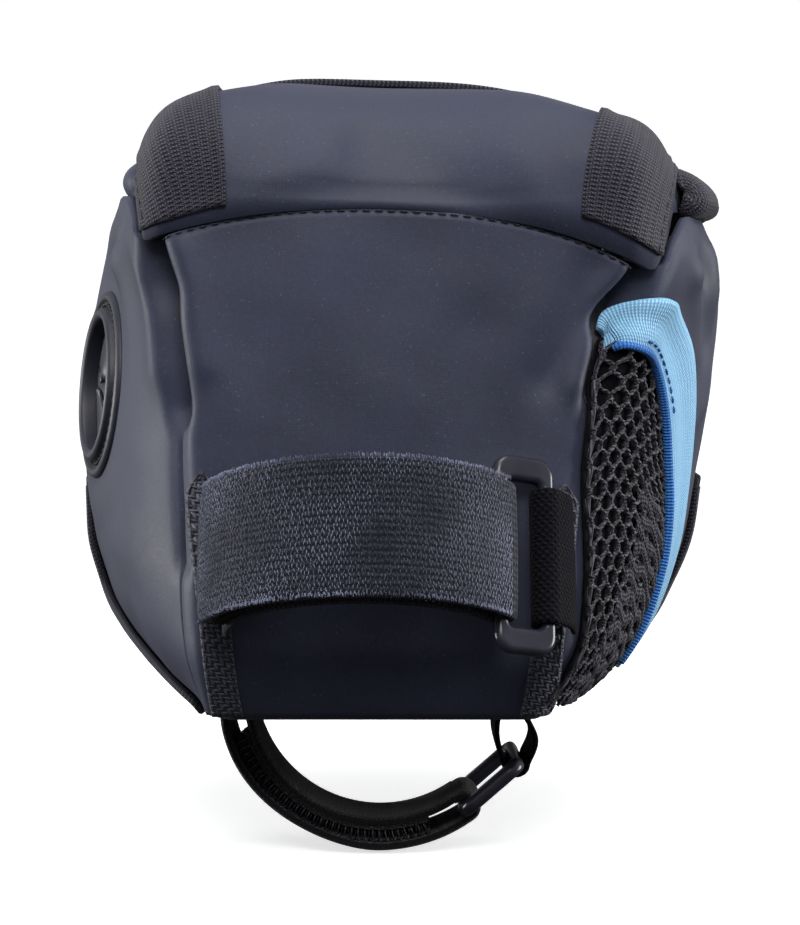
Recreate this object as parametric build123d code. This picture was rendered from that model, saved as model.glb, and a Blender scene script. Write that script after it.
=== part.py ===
from build123d import *
from math import cos, radians, sin, sqrt, tan
import os

# A small padded bag that is strapped on a bicycle's top tube, just behind the stem.
# Millimetres. +X is to the right seen from the front, +Y runs to the rear, +Z is up.
# The origin is the centre of the grip pad's underside, which rests on the frame tube.

# Body: half of the length, and one row for each cross-section along it.
HALF_LENGTH = 92.5
SIDE_Z = 46.0
# y, sideways lean of the lower half, half widths at base, side, shoulder and top edge,
# then heights of shoulder, top edge and crown
STATIONS = [
    (-HALF_LENGTH, -4.0, 31.0, 35.5, 45.5, 35.5, 98.0, 111.0, 113.0),
    (-72.0, -2.0, 37.0, 51.0, 50.5, 40.5, 100.5, 115.5, 119.0),
    (-30.0, 0.0, 42.0, 62.0, 56.5, 43.5, 102.0, 118.0, 122.5),
    (15.0, 0.0, 45.0, 65.5, 59.0, 44.5, 103.0, 118.5, 123.5),
    (55.0, 0.0, 43.0, 61.5, 56.0, 42.5, 103.0, 117.5, 122.0),
    (HALF_LENGTH, 0.0, 34.0, 46.0, 45.5, 33.5, 103.0, 111.0, 113.0),
]
CORNER_BULGE = (0.27, 0.68)  # how far the shoulder arc stands out, across and up

# Layers, counted inwards from the outer skin
FABRIC = 1.2
FOAM = 3.0
LINING = 0.6
TAPE = 0.8
PAD_HEIGHT = 1.5
PAD_SIZE = (34.0, 160.0)
BOARD_SIZE = (46.0, 150.0, 1.5)
BASE_RETURN = 4.0

# Lid: it parts from the body on a plane that climbs to the rear
SEAM_Z = 94.0
SEAM_CLIMB = 3.1
BROW_LEAN = 28.0
REAR_LEAN = 24.0
HALF_GAP = 0.2
FRONT_RETURN = 12.5
REAR_RETURN = 6.5
SKIN_SETBACK = 4.5
TOP_PANEL_Z = 110.0
EDGE_TAPE_X = 34.0
EDGE_TAPE_START = 9.0
EDGE_TAPE_FOOT = 1.5
EDGE_TAPE = 1.0
GUARD_GROW = 3.2
GUARD_BAND = (0.5, 8.5)
GUARD_Y = (-71.0, 84.0)
WINDOW_HALF = (27.0, 62.0)
WINDOW_Y = 3.0
WINDOW_BORDER = 6.0
WINDOW_LAP = 3.0

# Zipper
TOOTH_BAND = 1.2
TOOTH_DEPTH = (0.2, 2.0)
ZIP_TAPE_DEPTH = 9.0
SLIDER_X = 8.0
SLIDER_SIZE = (8.0, 1.6, 10.0)
SLIDER_CLEARANCE = 0.4
BAIL_RADIUS = 0.7
BAIL_REACH = 2.4
EAR_SIZE = (1.0, 2.4, 2.4)
PULL_EYE = 0.8
PULL_NECK = 3.6
PULL_NECK_R = 1.4
PULL_DROP = 5.0
PULL_SIZE = (9.0, 1.4, 24.0)

# Cable port on the left side
PORT_CENTRE = (-59.2, -46.0, 63.5)
PORT_AXIS = (-0.955, -0.29, 0.07)
PORT_FLANGE_R = 18.5
PORT_COLLAR_R = 15.0
PORT_NECK_R = 14.7
PORT_BORE_R = 13.0
PORT_WASHER_R = 17.5
PORT_FLANGE_OUT = 1.9
PORT_COLLAR_OUT = 3.0
PORT_DEPTH = 12.0
FLAP_THICKNESS = 0.8
FLAP_HOLE_R = 3.5
FLAP_SLIT = (18.0, 0.5)
FLAP_SLITS = 3

# Mesh pocket on the right side, drawn in the YZ plane
POCKET_GAP = 1.6
MESH = 1.0
BINDING_PROUD = 0.5
POCKET_FRONT_Y = -90.5
POCKET_FLOOR_Z = 4.0
POCKET_RIM = [(-90.5, 73.0), (-82.0, 79.0), (-62.0, 72.5), (-50.5, 50.0), (-46.5, 23.0), (-36.0, 4.0)]
POCKET_HEM = [(-90.5, 65.0), (-84.0, 66.0), (-66.5, 54.0), (-61.5, 33.0), (-56.0, 12.0), (-49.5, 4.0)]

# Base boot, the black fabric that wraps the lower rear
BOOT_GROW = 2.2
BOOT_Y = -22.0
BOOT_TOP_Z = 44.0

# Coarse bindings down the front edges: x at the foot and x at the head
BINDING_THICKNESS = 1.0
BINDING_WIDTH = 5.0
BINDING_Z = (2.2, 43.0)
LEFT_BINDING_X = (-34.4, -38.8)
RIGHT_BINDING_X = (21.6, 26.0)

# Straps
WEB = 1.5
HOOK_TAPE = 3.1
STRAP_WIDTH = 25.0
STRAP_PLAY = 0.4
RING_BAR = (2.6, 2.8)
RING_LENGTH = 36.5
RING_SLOT = 27.0
RING_CORNER_R = 3.5
RING_EDGE_R = 1.2
EYE_R = 1.75
FREE_END_R = 4.0
# centre of the loop, inner radius, angle of the strap bar, anchor bar, direction to the anchor's root
FRONT_LOOP = ((-6.5, 1.5), 24.2, -28.0, (26.3, -7.2), 75.0)
FRONT_STRAP_Z = 28.8
FRONT_STRAP_TILT = 17.0
BOTTOM_LOOP = ((-4.0, 4.0), 25.2, -54.0, (22.6, -10.5), 90.0)
BOTTOM_STRAP_Y = -47.0
HOOK_TAPE_ANGLES = (196.0, -14.0)
TAIL_START = 193.0

REACH = 400.0  # larger than the bag in every direction


def block(x0, x1, y0, y1, z0, z1):
    """A box between two corners."""
    centre = Pos((x0 + x1) / 2, (y0 + y1) / 2, (z0 + z1) / 2)
    return centre * Box(x1 - x0, y1 - y0, z1 - z0)


def seam_slab(low, high):
    """The space between two heights measured from the lid's parting plane."""
    climb = radians(SEAM_CLIMB)
    plane = Plane(origin=(0, -HALF_LENGTH, SEAM_Z), x_dir=(1, 0, 0), z_dir=(0, -sin(climb), cos(climb)))
    return plane * Pos(0, 0, (low + high) / 2) * Box(REACH, REACH * 2, high - low)


def below_seam(height):
    return seam_slab(-REACH, height)


def above_seam(height):
    return seam_slab(height, REACH)


def side_prism(points):
    """A shape drawn in the YZ plane and pushed through the bag's right half."""
    outline = Polyline(*[(y, z) for y, z in points], close=True)
    return extrude(Plane.YZ * make_face(outline), REACH)


def section(station, y, grow):
    """One closed cross-section of the bag, made larger or smaller by grow."""
    _, lean, base, side, shoulder, edge, shoulder_z, edge_z, crown_z = station
    foot_z = PAD_HEIGHT - grow
    out, up = CORNER_BULGE

    def half(sign):
        foot = (lean + sign * (base + grow), y, foot_z)
        flank = (lean + sign * (side + grow), y, SIDE_Z)
        top = (sign * (shoulder + grow), y, shoulder_z)
        corner = (
            sign * (shoulder + grow - out * (shoulder - edge)),
            y,
            shoulder_z + up * (edge_z + grow - shoulder_z),
        )
        rim = (sign * (edge + grow), y, edge_z + grow)
        return foot, flank, top, corner, rim

    r_foot, r_flank, r_top, r_corner, r_rim = half(1)
    l_foot, l_flank, l_top, l_corner, l_rim = half(-1)
    return Wire([
        Edge.make_line(l_foot, r_foot),
        Edge.make_three_point_arc(r_foot, r_flank, r_top),
        Edge.make_three_point_arc(r_top, r_corner, r_rim),
        Edge.make_three_point_arc(r_rim, (0, y, crown_z + grow), l_rim),
        Edge.make_three_point_arc(l_rim, l_corner, l_top),
        Edge.make_three_point_arc(l_top, l_flank, l_foot),
    ])


def side_profile(grow):
    """The outline seen from the side, with the leaning brow and rear skirt."""
    front = -HALF_LENGTH - grow
    rear = HALF_LENGTH + grow
    rear_z = SEAM_Z + 2 * HALF_LENGTH * tan(radians(SEAM_CLIMB))
    points = [
        (front, -REACH),
        (front, SEAM_Z),
        (front + (REACH - SEAM_Z) * tan(radians(BROW_LEAN)), REACH),
        (rear - (REACH - rear_z) * tan(radians(REAR_LEAN)), REACH),
        (rear, rear_z),
        (rear, -REACH),
    ]
    outline = Polyline(*points, close=True)
    return Pos(-REACH / 2, 0, 0) * extrude(Plane.YZ * make_face(outline), REACH)


def envelope(grow):
    """The whole bag as one solid, grown outwards or shrunk by a layer's depth."""
    wires = []
    for station in STATIONS:
        y = station[0]
        if abs(y) == HALF_LENGTH:
            y += grow if y > 0 else -grow
        wires.append(section(station, y, grow))
    return Solid.make_loft(wires) & side_profile(grow)


def port_cylinder(radius, low, high):
    """A cylinder on the cable port's axis, between two distances from the skin."""
    plane = Plane(origin=PORT_CENTRE, z_dir=PORT_AXIS)
    return plane * Pos(0, 0, (low + high) / 2) * Cylinder(radius, high - low)


def body_panels(skin):
    """The five outer pieces of the body, cut from one skin."""
    wall = skin & block(-REACH, REACH, -REACH, REACH, BASE_RETURN, REACH)
    middle = block(-REACH, REACH, -HALF_LENGTH + FRONT_RETURN, HALF_LENGTH - REAR_RETURN, 0, REACH)
    sides = wall & middle & below_seam(-SKIN_SETBACK)
    port = port_cylinder(PORT_NECK_R, -PORT_DEPTH, PORT_DEPTH)
    front = block(-REACH, REACH, -REACH, -HALF_LENGTH + FRONT_RETURN, 0, REACH)
    rear = block(-REACH, REACH, HALF_LENGTH - REAR_RETURN, REACH, 0, REACH)
    return {
        "front_panel": wall & front & below_seam(-HALF_GAP),
        "left_side_panel": (sides & block(-REACH, 0, -REACH, REACH, 0, REACH)) - port,
        "right_side_panel": sides & block(0, REACH, -REACH, REACH, 0, REACH),
        "rear_panel": wall & rear & below_seam(-SKIN_SETBACK),
        "base_panel": skin & block(-REACH, REACH, -REACH, REACH, 0, BASE_RETURN),
    }


def base_parts():
    """The grip pad under the base and the stiff board above it."""
    pad = block(-PAD_SIZE[0] / 2, PAD_SIZE[0] / 2, -PAD_SIZE[1] / 2, PAD_SIZE[1] / 2, 0, PAD_HEIGHT)
    pad = fillet(pad.edges().filter_by(Axis.Z), 6.0)
    floor_z = PAD_HEIGHT + FABRIC
    width, length, thickness = BOARD_SIZE
    board = block(-width / 2, width / 2, -length / 2, length / 2, floor_z, floor_z + thickness)
    board = fillet(board.edges().filter_by(Axis.Z), 8.0)
    return pad, board


def foam_inserts(layer, board):
    """Padding behind each panel, kept below the zipper."""
    low = layer & below_seam(-ZIP_TAPE_DEPTH - 1.0)
    front_y = -HALF_LENGTH + FRONT_RETURN
    rear_y = HALF_LENGTH - REAR_RETURN - 3.0
    floor_z = PAD_HEIGHT + FABRIC + FOAM
    floor = low & block(-REACH, REACH, -REACH, REACH, 0, floor_z)
    low = low & block(-REACH, REACH, -REACH, REACH, floor_z, REACH)
    middle = low & block(-REACH, REACH, front_y, rear_y, 0, REACH)
    port = port_cylinder(PORT_NECK_R, -PORT_DEPTH, PORT_DEPTH)
    return {
        "front_foam": low & block(-REACH, REACH, -REACH, front_y, 0, REACH),
        "left_foam": (middle & block(-REACH, 0, -REACH, REACH, 0, REACH)) - port,
        "right_foam": middle & block(0, REACH, -REACH, REACH, 0, REACH),
        "rear_foam": low & block(-REACH, REACH, rear_y, REACH, 0, REACH),
        "base_foam": floor - board,
    }


def boot(grown, bag):
    return (grown - bag) & block(-REACH, REACH, BOOT_Y, REACH, PAD_HEIGHT, BOOT_TOP_Z)


def front_bindings():
    """Coarse woven strips stitched down both front edges."""
    strips = {}
    low, high = BINDING_Z
    for name, (foot, head) in (("left", LEFT_BINDING_X), ("right", RIGHT_BINDING_X)):
        points = [(foot, low), (foot + BINDING_WIDTH, low), (head + BINDING_WIDTH, high), (head, high)]
        face = make_face(Polyline(*points, close=True))
        plane = Plane(origin=(0, -HALF_LENGTH, 0), x_dir=(1, 0, 0), z_dir=(0, -1, 0))
        strips["front_binding_" + name] = extrude(plane * face, BINDING_THICKNESS)
    return strips


def zipper_tape(layer, low, high):
    """One half of the zipper's woven tape, from corner to corner round the rear."""
    return layer & seam_slab(low, high) & block(-REACH, REACH, -HALF_LENGTH + FRONT_RETURN, REACH, 0, REACH)


def lid_panels(skin):
    """The brow, the skirt and the top panel with its window opening."""
    front_y = -HALF_LENGTH + FRONT_RETURN
    behind = skin & block(-REACH, REACH, front_y, REACH, 0, REACH)
    window = window_prism(0.0)
    return {
        "lid_brow": skin & block(-REACH, REACH, -REACH, front_y, 0, REACH) & above_seam(HALF_GAP),
        "lid_skirt": behind & above_seam(SKIN_SETBACK) & block(-REACH, REACH, -REACH, REACH, 0, TOP_PANEL_Z),
        "lid_top": (behind & block(-REACH, REACH, -REACH, REACH, TOP_PANEL_Z, REACH)) - window,
    }


def window_prism(grow):
    """The window's rounded outline, pushed up through the lid."""
    half_x, half_y = WINDOW_HALF
    outline = RectangleRounded(2 * (half_x + grow), 2 * (half_y + grow), 8.0 + grow)
    return Pos(0, WINDOW_Y, TOP_PANEL_Z) * extrude(outline, REACH)


def lid_edge_tape(layer, sign):
    """Wide woven tape over one long edge of the lid and down its front corner."""
    side = block(EDGE_TAPE_X, REACH, -REACH, HALF_LENGTH - REAR_RETURN, 0, REACH)
    corner = above_seam(EDGE_TAPE_FOOT) & block(-REACH, REACH, -REACH, GUARD_Y[0] - 0.5, 0, REACH)
    edge = above_seam(EDGE_TAPE_START) & block(-REACH, REACH, GUARD_Y[0] - 0.5, REACH, 0, REACH)
    side = side if sign > 0 else mirror(side, Plane.YZ)
    return layer & side & (corner + edge)


def zipper_guard(layer, sign):
    """Rolled flap that keeps rain off one long side of the zipper."""
    side = block(30.0, REACH, *GUARD_Y, 0, REACH)
    side = side if sign > 0 else mirror(side, Plane.YZ)
    return layer & side & seam_slab(*GUARD_BAND)


def cable_port(bag, inner, washer_inner):
    """Moulded rubber grommet: outer flange, raised collar, neck and inner washer."""
    flange = port_cylinder(PORT_FLANGE_R, -PORT_DEPTH, PORT_FLANGE_OUT) - bag
    collar = port_cylinder(PORT_COLLAR_R, -PORT_DEPTH, PORT_COLLAR_OUT) - bag
    neck = port_cylinder(PORT_NECK_R, -PORT_DEPTH, PORT_DEPTH) & (bag - washer_inner)
    washer = port_cylinder(PORT_WASHER_R, -PORT_DEPTH, PORT_DEPTH) & (inner - washer_inner)
    return flange + collar + neck + washer - port_cylinder(PORT_BORE_R, -PORT_DEPTH, PORT_DEPTH)


def port_flaps():
    """Thin rubber disc across the bore, slit like a star round a small hole."""
    disc = port_cylinder(PORT_BORE_R, -FLAP_THICKNESS - 1.0, -1.0)
    disc -= port_cylinder(FLAP_HOLE_R, -PORT_DEPTH, PORT_DEPTH)
    plane = Plane(origin=PORT_CENTRE, z_dir=PORT_AXIS)
    for i in range(FLAP_SLITS):
        disc -= plane * Rot(0, 0, 180.0 * i / FLAP_SLITS) * Box(FLAP_SLIT[0], FLAP_SLIT[1], PORT_DEPTH)
    return disc


def mesh_pocket(bag):
    """Side pocket of knitted mesh and the elastic binding along its slanted mouth."""
    whole = side_prism(POCKET_RIM + [(POCKET_FRONT_Y, POCKET_FLOOR_Z)])
    low = side_prism(POCKET_HEM + [(POCKET_FRONT_Y, POCKET_FLOOR_Z)])
    hollow = block(0, REACH, POCKET_FRONT_Y + MESH, REACH, POCKET_FLOOR_Z + MESH, REACH)
    mesh = (envelope(POCKET_GAP + MESH) & low) - (envelope(POCKET_GAP) & hollow) - bag
    proud = envelope(POCKET_GAP + MESH + BINDING_PROUD) & (whole - low)
    binding = proud - (envelope(POCKET_GAP - BINDING_PROUD) & hollow) - bag
    return mesh, binding


def zipper_slider(sign):
    """Slider plate with a bail, and the pull that hangs from it."""
    seam_z = SEAM_Z + 2 * HALF_LENGTH * tan(radians(SEAM_CLIMB))
    face_y = HALF_LENGTH + SLIDER_CLEARANCE
    width, thickness, height = SLIDER_SIZE
    ear_w, ear_reach, ear_h = EAR_SIZE
    plate = Pos(0, face_y + thickness / 2, 0) * Box(width, thickness, height)
    plate = fillet(plate.edges().filter_by(Axis.Y), 1.5)
    bail_y = face_y + thickness + BAIL_REACH - BAIL_RADIUS
    ear_x = PULL_NECK / 2 + ear_w / 2 + 0.3
    ears = Part()
    for side in (-1, 1):
        ears += Pos(side * ear_x, face_y + thickness + ear_reach / 2, 0) * Box(ear_w, ear_reach, ear_h)
    bar = Pos(0, bail_y, 0) * Rot(0, 90, 0) * Cylinder(BAIL_RADIUS, 2 * ear_x)
    slider = Pos(sign * SLIDER_X, 0, seam_z) * (plate + ears + bar)

    pull_w, pull_t, pull_l = PULL_SIZE
    neck = Pos(0, bail_y, -PULL_DROP / 2) * Box(PULL_NECK, 2 * PULL_NECK_R, PULL_DROP)
    neck += Pos(0, bail_y, 0) * Rot(0, 90, 0) * Cylinder(PULL_NECK_R, PULL_NECK)
    tab = Pos(0, bail_y, -PULL_DROP - pull_l / 2) * Box(pull_w, pull_t, pull_l)
    tab = fillet(tab.edges().filter_by(Axis.Y), 2.0)
    eye = Pos(0, bail_y, 0) * Rot(0, 90, 0) * Cylinder(PULL_EYE, pull_w)
    pull = Pos(sign * SLIDER_X, 0, seam_z) * (neck + tab - eye)
    return slider, pull


def loop_point(centre, radius, angle):
    return (centre[0] + radius * cos(radians(angle)), centre[1] + radius * sin(radians(angle)))


def band(centre, inner, outer, start, end):
    """Part of a ring between two angles, as a flat shape."""
    sweep = end - start
    return make_face([
        CenterArc(centre, inner, start, sweep),
        Line(loop_point(centre, inner, end), loop_point(centre, outer, end)),
        CenterArc(centre, outer, start, sweep),
        Line(loop_point(centre, inner, start), loop_point(centre, outer, start)),
    ])


def strap_plate(shape):
    """A flat shape given the width of the strap."""
    return Pos(0, 0, -STRAP_WIDTH / 2) * extrude(shape, STRAP_WIDTH)


def strap_ring(strap_bar, anchor_bar):
    """Moulded loop with a bar for the strap and a bar for its anchor."""
    bar_w, bar_t = RING_BAR
    dx = anchor_bar[0] - strap_bar[0]
    dy = anchor_bar[1] - strap_bar[1]
    span = sqrt(dx * dx + dy * dy)
    middle = ((strap_bar[0] + anchor_bar[0]) / 2, (strap_bar[1] + anchor_bar[1]) / 2, 0)
    plane = Plane(origin=middle, x_dir=(dx, dy, 0), z_dir=(dy, -dx, 0))
    outline = RectangleRounded(span + bar_w, RING_LENGTH, RING_CORNER_R)
    outline -= RectangleRounded(span - bar_w, RING_SLOT, 1.2)
    ring = plane * Pos(0, 0, -bar_t / 2) * extrude(outline, bar_t)
    face_at = bar_t / 2 - 0.01
    rims = [e for e in ring.edges() if abs((e.center() - Vector(*middle)).dot(plane.z_dir)) > face_at]
    return fillet(rims, RING_EDGE_R)


def strap_anchor(anchor_bar, direction):
    """Webbing loop that holds the ring's second bar."""
    outer_r = EYE_R + WEB
    lug = Rectangle(2 * STRAP_WIDTH, 2 * outer_r)
    lug = Pos(*anchor_bar) * Rot(0, 0, direction) * Pos(STRAP_WIDTH, 0) * lug
    shape = lug + Pos(*anchor_bar) * Circle(outer_r) - Pos(*anchor_bar) * Circle(EYE_R)
    return strap_plate(shape)


def strap_tail(centre, base_outer, bar_angle, strap_bar):
    """Free half of the strap: a fold round the ring's bar and the run back over the first half."""
    inner = base_outer + 2 * EYE_R
    run = band(centre, inner, inner + WEB, TAIL_START - 360.0, bar_angle)
    fold = Pos(*strap_bar) * (Circle(EYE_R + WEB) - Circle(EYE_R))
    beyond = Pos(*strap_bar) * Rot(0, 0, bar_angle) * Pos(0, STRAP_WIDTH) * Rectangle(REACH, 2 * STRAP_WIDTH)
    tail = strap_plate(run + (fold & beyond))
    ends = tail.edges().filter_by(lambda e: abs(e.length - WEB) < 0.01)
    reach = [e for e in ends if (e.center() - Vector(*strap_bar, 0)).length > STRAP_WIDTH]
    return fillet(reach, FREE_END_R)


def strap_loop(loop):
    """Every piece of one strap, in the strap's own flat frame."""
    centre, inner, bar_angle, anchor_bar, direction = loop
    outer = inner + WEB
    strap_bar = loop_point(centre, outer + EYE_R, bar_angle)
    base = band(centre, inner, outer, 170.0 - 360.0, bar_angle)
    base -= Pos(*strap_bar) * Circle(EYE_R + WEB + STRAP_PLAY)
    start, short = HOOK_TAPE_ANGLES
    hooks = band(centre, outer, outer + HOOK_TAPE, start - 360.0, bar_angle + short)
    return {
        "base": strap_plate(base),
        "hooks": strap_plate(hooks),
        "tail": strap_tail(centre, outer, bar_angle, strap_bar),
        "ring": strap_ring(strap_bar, anchor_bar),
        "anchor": strap_anchor(anchor_bar, direction),
    }


def front_strap_plane():
    tilt = radians(FRONT_STRAP_TILT)
    return Plane(origin=(0, -HALF_LENGTH, FRONT_STRAP_Z), x_dir=(1, 0, 0), z_dir=(0, sin(tilt), cos(tilt)))


def bottom_strap_plane():
    return Plane(origin=(0, BOTTOM_STRAP_Y, 0), x_dir=(1, 0, 0), z_dir=(0, -1, 0))


def build_nodes():
    bag = envelope(0.0)
    under_skin = envelope(-FABRIC)
    under_foam = envelope(-FABRIC - FOAM)
    room = envelope(-FABRIC - FOAM - LINING)
    skin = bag - under_skin

    nodes = body_panels(skin)
    pad, board = base_parts()
    nodes["base_grip_pad"] = pad
    nodes["base_board"] = board
    nodes.update(foam_inserts(under_skin - under_foam, board))
    port_hole = port_cylinder(PORT_NECK_R, -PORT_DEPTH, PORT_DEPTH)
    nodes["body_lining"] = ((under_foam - room) & below_seam(-ZIP_TAPE_DEPTH - 1.0)) - port_hole
    nodes["base_boot"] = boot(envelope(BOOT_GROW), bag)
    bindings = front_bindings()
    nodes.update(bindings)

    tape_layer = under_skin - envelope(-FABRIC - TAPE)
    tooth_layer = envelope(-TOOTH_DEPTH[0]) - envelope(-TOOTH_DEPTH[1])
    tooth_top = HALF_GAP + TOOTH_BAND
    nodes["zipper_tape_lower"] = zipper_tape(tape_layer, -ZIP_TAPE_DEPTH, -tooth_top)
    nodes["zipper_teeth_lower"] = zipper_tape(tooth_layer, -tooth_top, -HALF_GAP)
    nodes["zipper_tape_upper"] = zipper_tape(tape_layer, tooth_top, ZIP_TAPE_DEPTH)
    nodes["zipper_teeth_upper"] = zipper_tape(tooth_layer, HALF_GAP, tooth_top)

    nodes.update(lid_panels(skin))
    cap = above_seam(SKIN_SETBACK) & block(-REACH, REACH, -REACH, REACH, TOP_PANEL_Z, REACH)
    nodes["lid_window"] = tape_layer & cap & window_prism(WINDOW_LAP)
    on_top = envelope(EDGE_TAPE) - bag
    frame = window_prism(WINDOW_BORDER) - window_prism(0.0)
    nodes["lid_window_border"] = on_top & cap & frame
    guard_layer = envelope(GUARD_GROW) - bag
    for name, sign in (("left", -1), ("right", 1)):
        nodes["lid_edge_tape_" + name] = lid_edge_tape(on_top, sign)
        nodes["zipper_guard_" + name] = zipper_guard(guard_layer, sign)
        slider, pull = zipper_slider(sign)
        nodes["zipper_slider_" + name] = slider
        nodes["zipper_pull_" + name] = pull

    nodes["cable_port"] = cable_port(bag, room, envelope(-FABRIC - FOAM - LINING - 1.2))
    nodes["cable_port_flaps"] = port_flaps()
    nodes["mesh_pocket"], nodes["pocket_binding"] = mesh_pocket(bag)

    front = strap_loop(FRONT_LOOP)
    bottom = strap_loop(BOTTOM_LOOP)
    in_front = block(-REACH, REACH, -REACH, -HALF_LENGTH, -REACH, REACH)
    under = block(-REACH, REACH, -REACH, REACH, -REACH, PAD_HEIGHT)
    front_plane = front_strap_plane()
    bottom_plane = bottom_strap_plane()
    for piece, name in (("base", "strap"), ("hooks", "hook_tape"), ("anchor", "ring_anchor")):
        placed = (front_plane * front[piece]) & in_front
        nodes["front_" + name] = placed - bindings["front_binding_left"] - bindings["front_binding_right"]
        nodes["bottom_" + name] = (bottom_plane * bottom[piece]) & under
    for piece, name in (("tail", "strap_tail"), ("ring", "ring")):
        nodes["front_" + name] = front_plane * front[piece]
        nodes["bottom_" + name] = bottom_plane * bottom[piece]
    return nodes


os.makedirs("parts", exist_ok=True)
for node, shape in build_nodes().items():
    export_step(shape, os.path.join("parts", node + ".step"))
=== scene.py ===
import bpy
import math
import numpy as np
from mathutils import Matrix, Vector
from mathutils.bvhtree import BVHTree


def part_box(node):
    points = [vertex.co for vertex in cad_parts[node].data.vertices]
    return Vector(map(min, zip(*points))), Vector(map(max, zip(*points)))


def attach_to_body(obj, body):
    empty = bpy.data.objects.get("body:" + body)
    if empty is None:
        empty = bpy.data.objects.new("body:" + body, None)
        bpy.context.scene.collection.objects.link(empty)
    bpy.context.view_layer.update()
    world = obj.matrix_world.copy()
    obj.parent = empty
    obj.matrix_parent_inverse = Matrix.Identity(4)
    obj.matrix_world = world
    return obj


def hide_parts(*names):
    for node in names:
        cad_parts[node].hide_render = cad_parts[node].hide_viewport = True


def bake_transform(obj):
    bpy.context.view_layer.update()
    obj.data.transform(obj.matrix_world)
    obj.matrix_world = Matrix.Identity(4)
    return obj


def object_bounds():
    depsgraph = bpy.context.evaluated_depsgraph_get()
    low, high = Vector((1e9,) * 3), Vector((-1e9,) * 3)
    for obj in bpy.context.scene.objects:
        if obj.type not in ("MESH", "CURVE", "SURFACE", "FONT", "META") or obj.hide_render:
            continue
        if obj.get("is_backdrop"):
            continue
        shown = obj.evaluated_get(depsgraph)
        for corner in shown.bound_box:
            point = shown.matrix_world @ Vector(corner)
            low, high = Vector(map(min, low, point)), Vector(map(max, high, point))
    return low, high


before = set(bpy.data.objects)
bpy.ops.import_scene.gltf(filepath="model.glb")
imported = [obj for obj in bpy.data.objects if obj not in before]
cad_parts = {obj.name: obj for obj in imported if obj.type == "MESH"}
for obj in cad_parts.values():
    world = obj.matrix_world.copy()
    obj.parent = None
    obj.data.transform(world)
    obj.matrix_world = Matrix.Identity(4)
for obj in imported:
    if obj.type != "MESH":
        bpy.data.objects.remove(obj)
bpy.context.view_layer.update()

# Geometry below is worked out in millimetres, and make_object turns it into metres.
MM = 0.001

# ---------------------------------------------------------------- places taken from the frame


def node_low(node):
    return np.array(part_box(node)[0]) / MM


def node_high(node):
    return np.array(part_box(node)[1]) / MM


FRONT_Y = node_low("front_panel")[1]
REAR_Y = node_high("rear_panel")[1]
BASE_Z = node_low("base_panel")[2]
LENGTH = REAR_Y - FRONT_Y
SEAM_Z = 94.0
SEAM_CLIMB = math.tan(math.radians(3.1))
SKIN = 1.2

# ---------------------------------------------------------------- mesh building


def make_object(name, parts, material, smooth=True):
    """One mesh from several (verts, faces, uvs), in millimetres, with a (u, v) for each face corner."""
    verts, faces, uvs = [], [], []
    base = 0
    for part_verts, part_faces, part_uvs in parts:
        verts.append(np.asarray(part_verts, float))
        faces += [tuple(k + base for k in face) for face in part_faces]
        uvs.append(np.asarray(part_uvs, float).reshape(-1, 2))
        base += len(part_verts)
    mesh = bpy.data.meshes.new(name)
    mesh.from_pydata((np.concatenate(verts) * MM).tolist(), [], faces)
    layer = mesh.uv_layers.new(name="cloth")
    layer.data.foreach_set("uv", (np.concatenate(uvs) * MM).astype(np.float32).ravel())
    mesh.polygons.foreach_set("use_smooth", [smooth] * len(mesh.polygons))
    mesh.materials.append(material)
    mesh.update()
    obj = bpy.data.objects.new(name, mesh)
    bpy.context.scene.collection.objects.link(obj)
    return obj


def attach(obj, body, slot, *nodes):
    """Says what a piece rides on and which CAD nodes it stands for, and hides those nodes; slot, its finish,
    is not used.
    """
    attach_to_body(obj, body)
    if nodes:
        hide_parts(*nodes)
    return obj


def unit(v):
    v = np.asarray(v, float)
    return v / np.maximum(np.linalg.norm(v, axis=-1, keepdims=True), 1e-12)


def ease(low, high, value):
    """0 below low, 1 above high, and a smooth rise between them. low may be above high."""
    t = np.clip((np.asarray(value, float) - low) / (high - low), 0, 1)
    return t * t * (3 - 2 * t)


def grid_normals(grid, closed=False):
    """Unit normals of a grid of points, u along the first axis and v along the second."""
    if closed:
        du = np.roll(grid, -1, 0) - np.roll(grid, 1, 0)
    else:
        du = np.gradient(grid, axis=0)
    return unit(np.cross(du, np.gradient(grid, axis=1)))


def grid_lengths(grid):
    """Distance along u and along v at each grid line, for weave that keeps its scale."""
    du = np.linalg.norm(np.diff(grid, axis=0), axis=2).mean(1)
    dv = np.linalg.norm(np.diff(grid, axis=1), axis=2).mean(0)
    return np.concatenate([[0], np.cumsum(du)]), np.concatenate([[0], np.cumsum(dv)])


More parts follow.
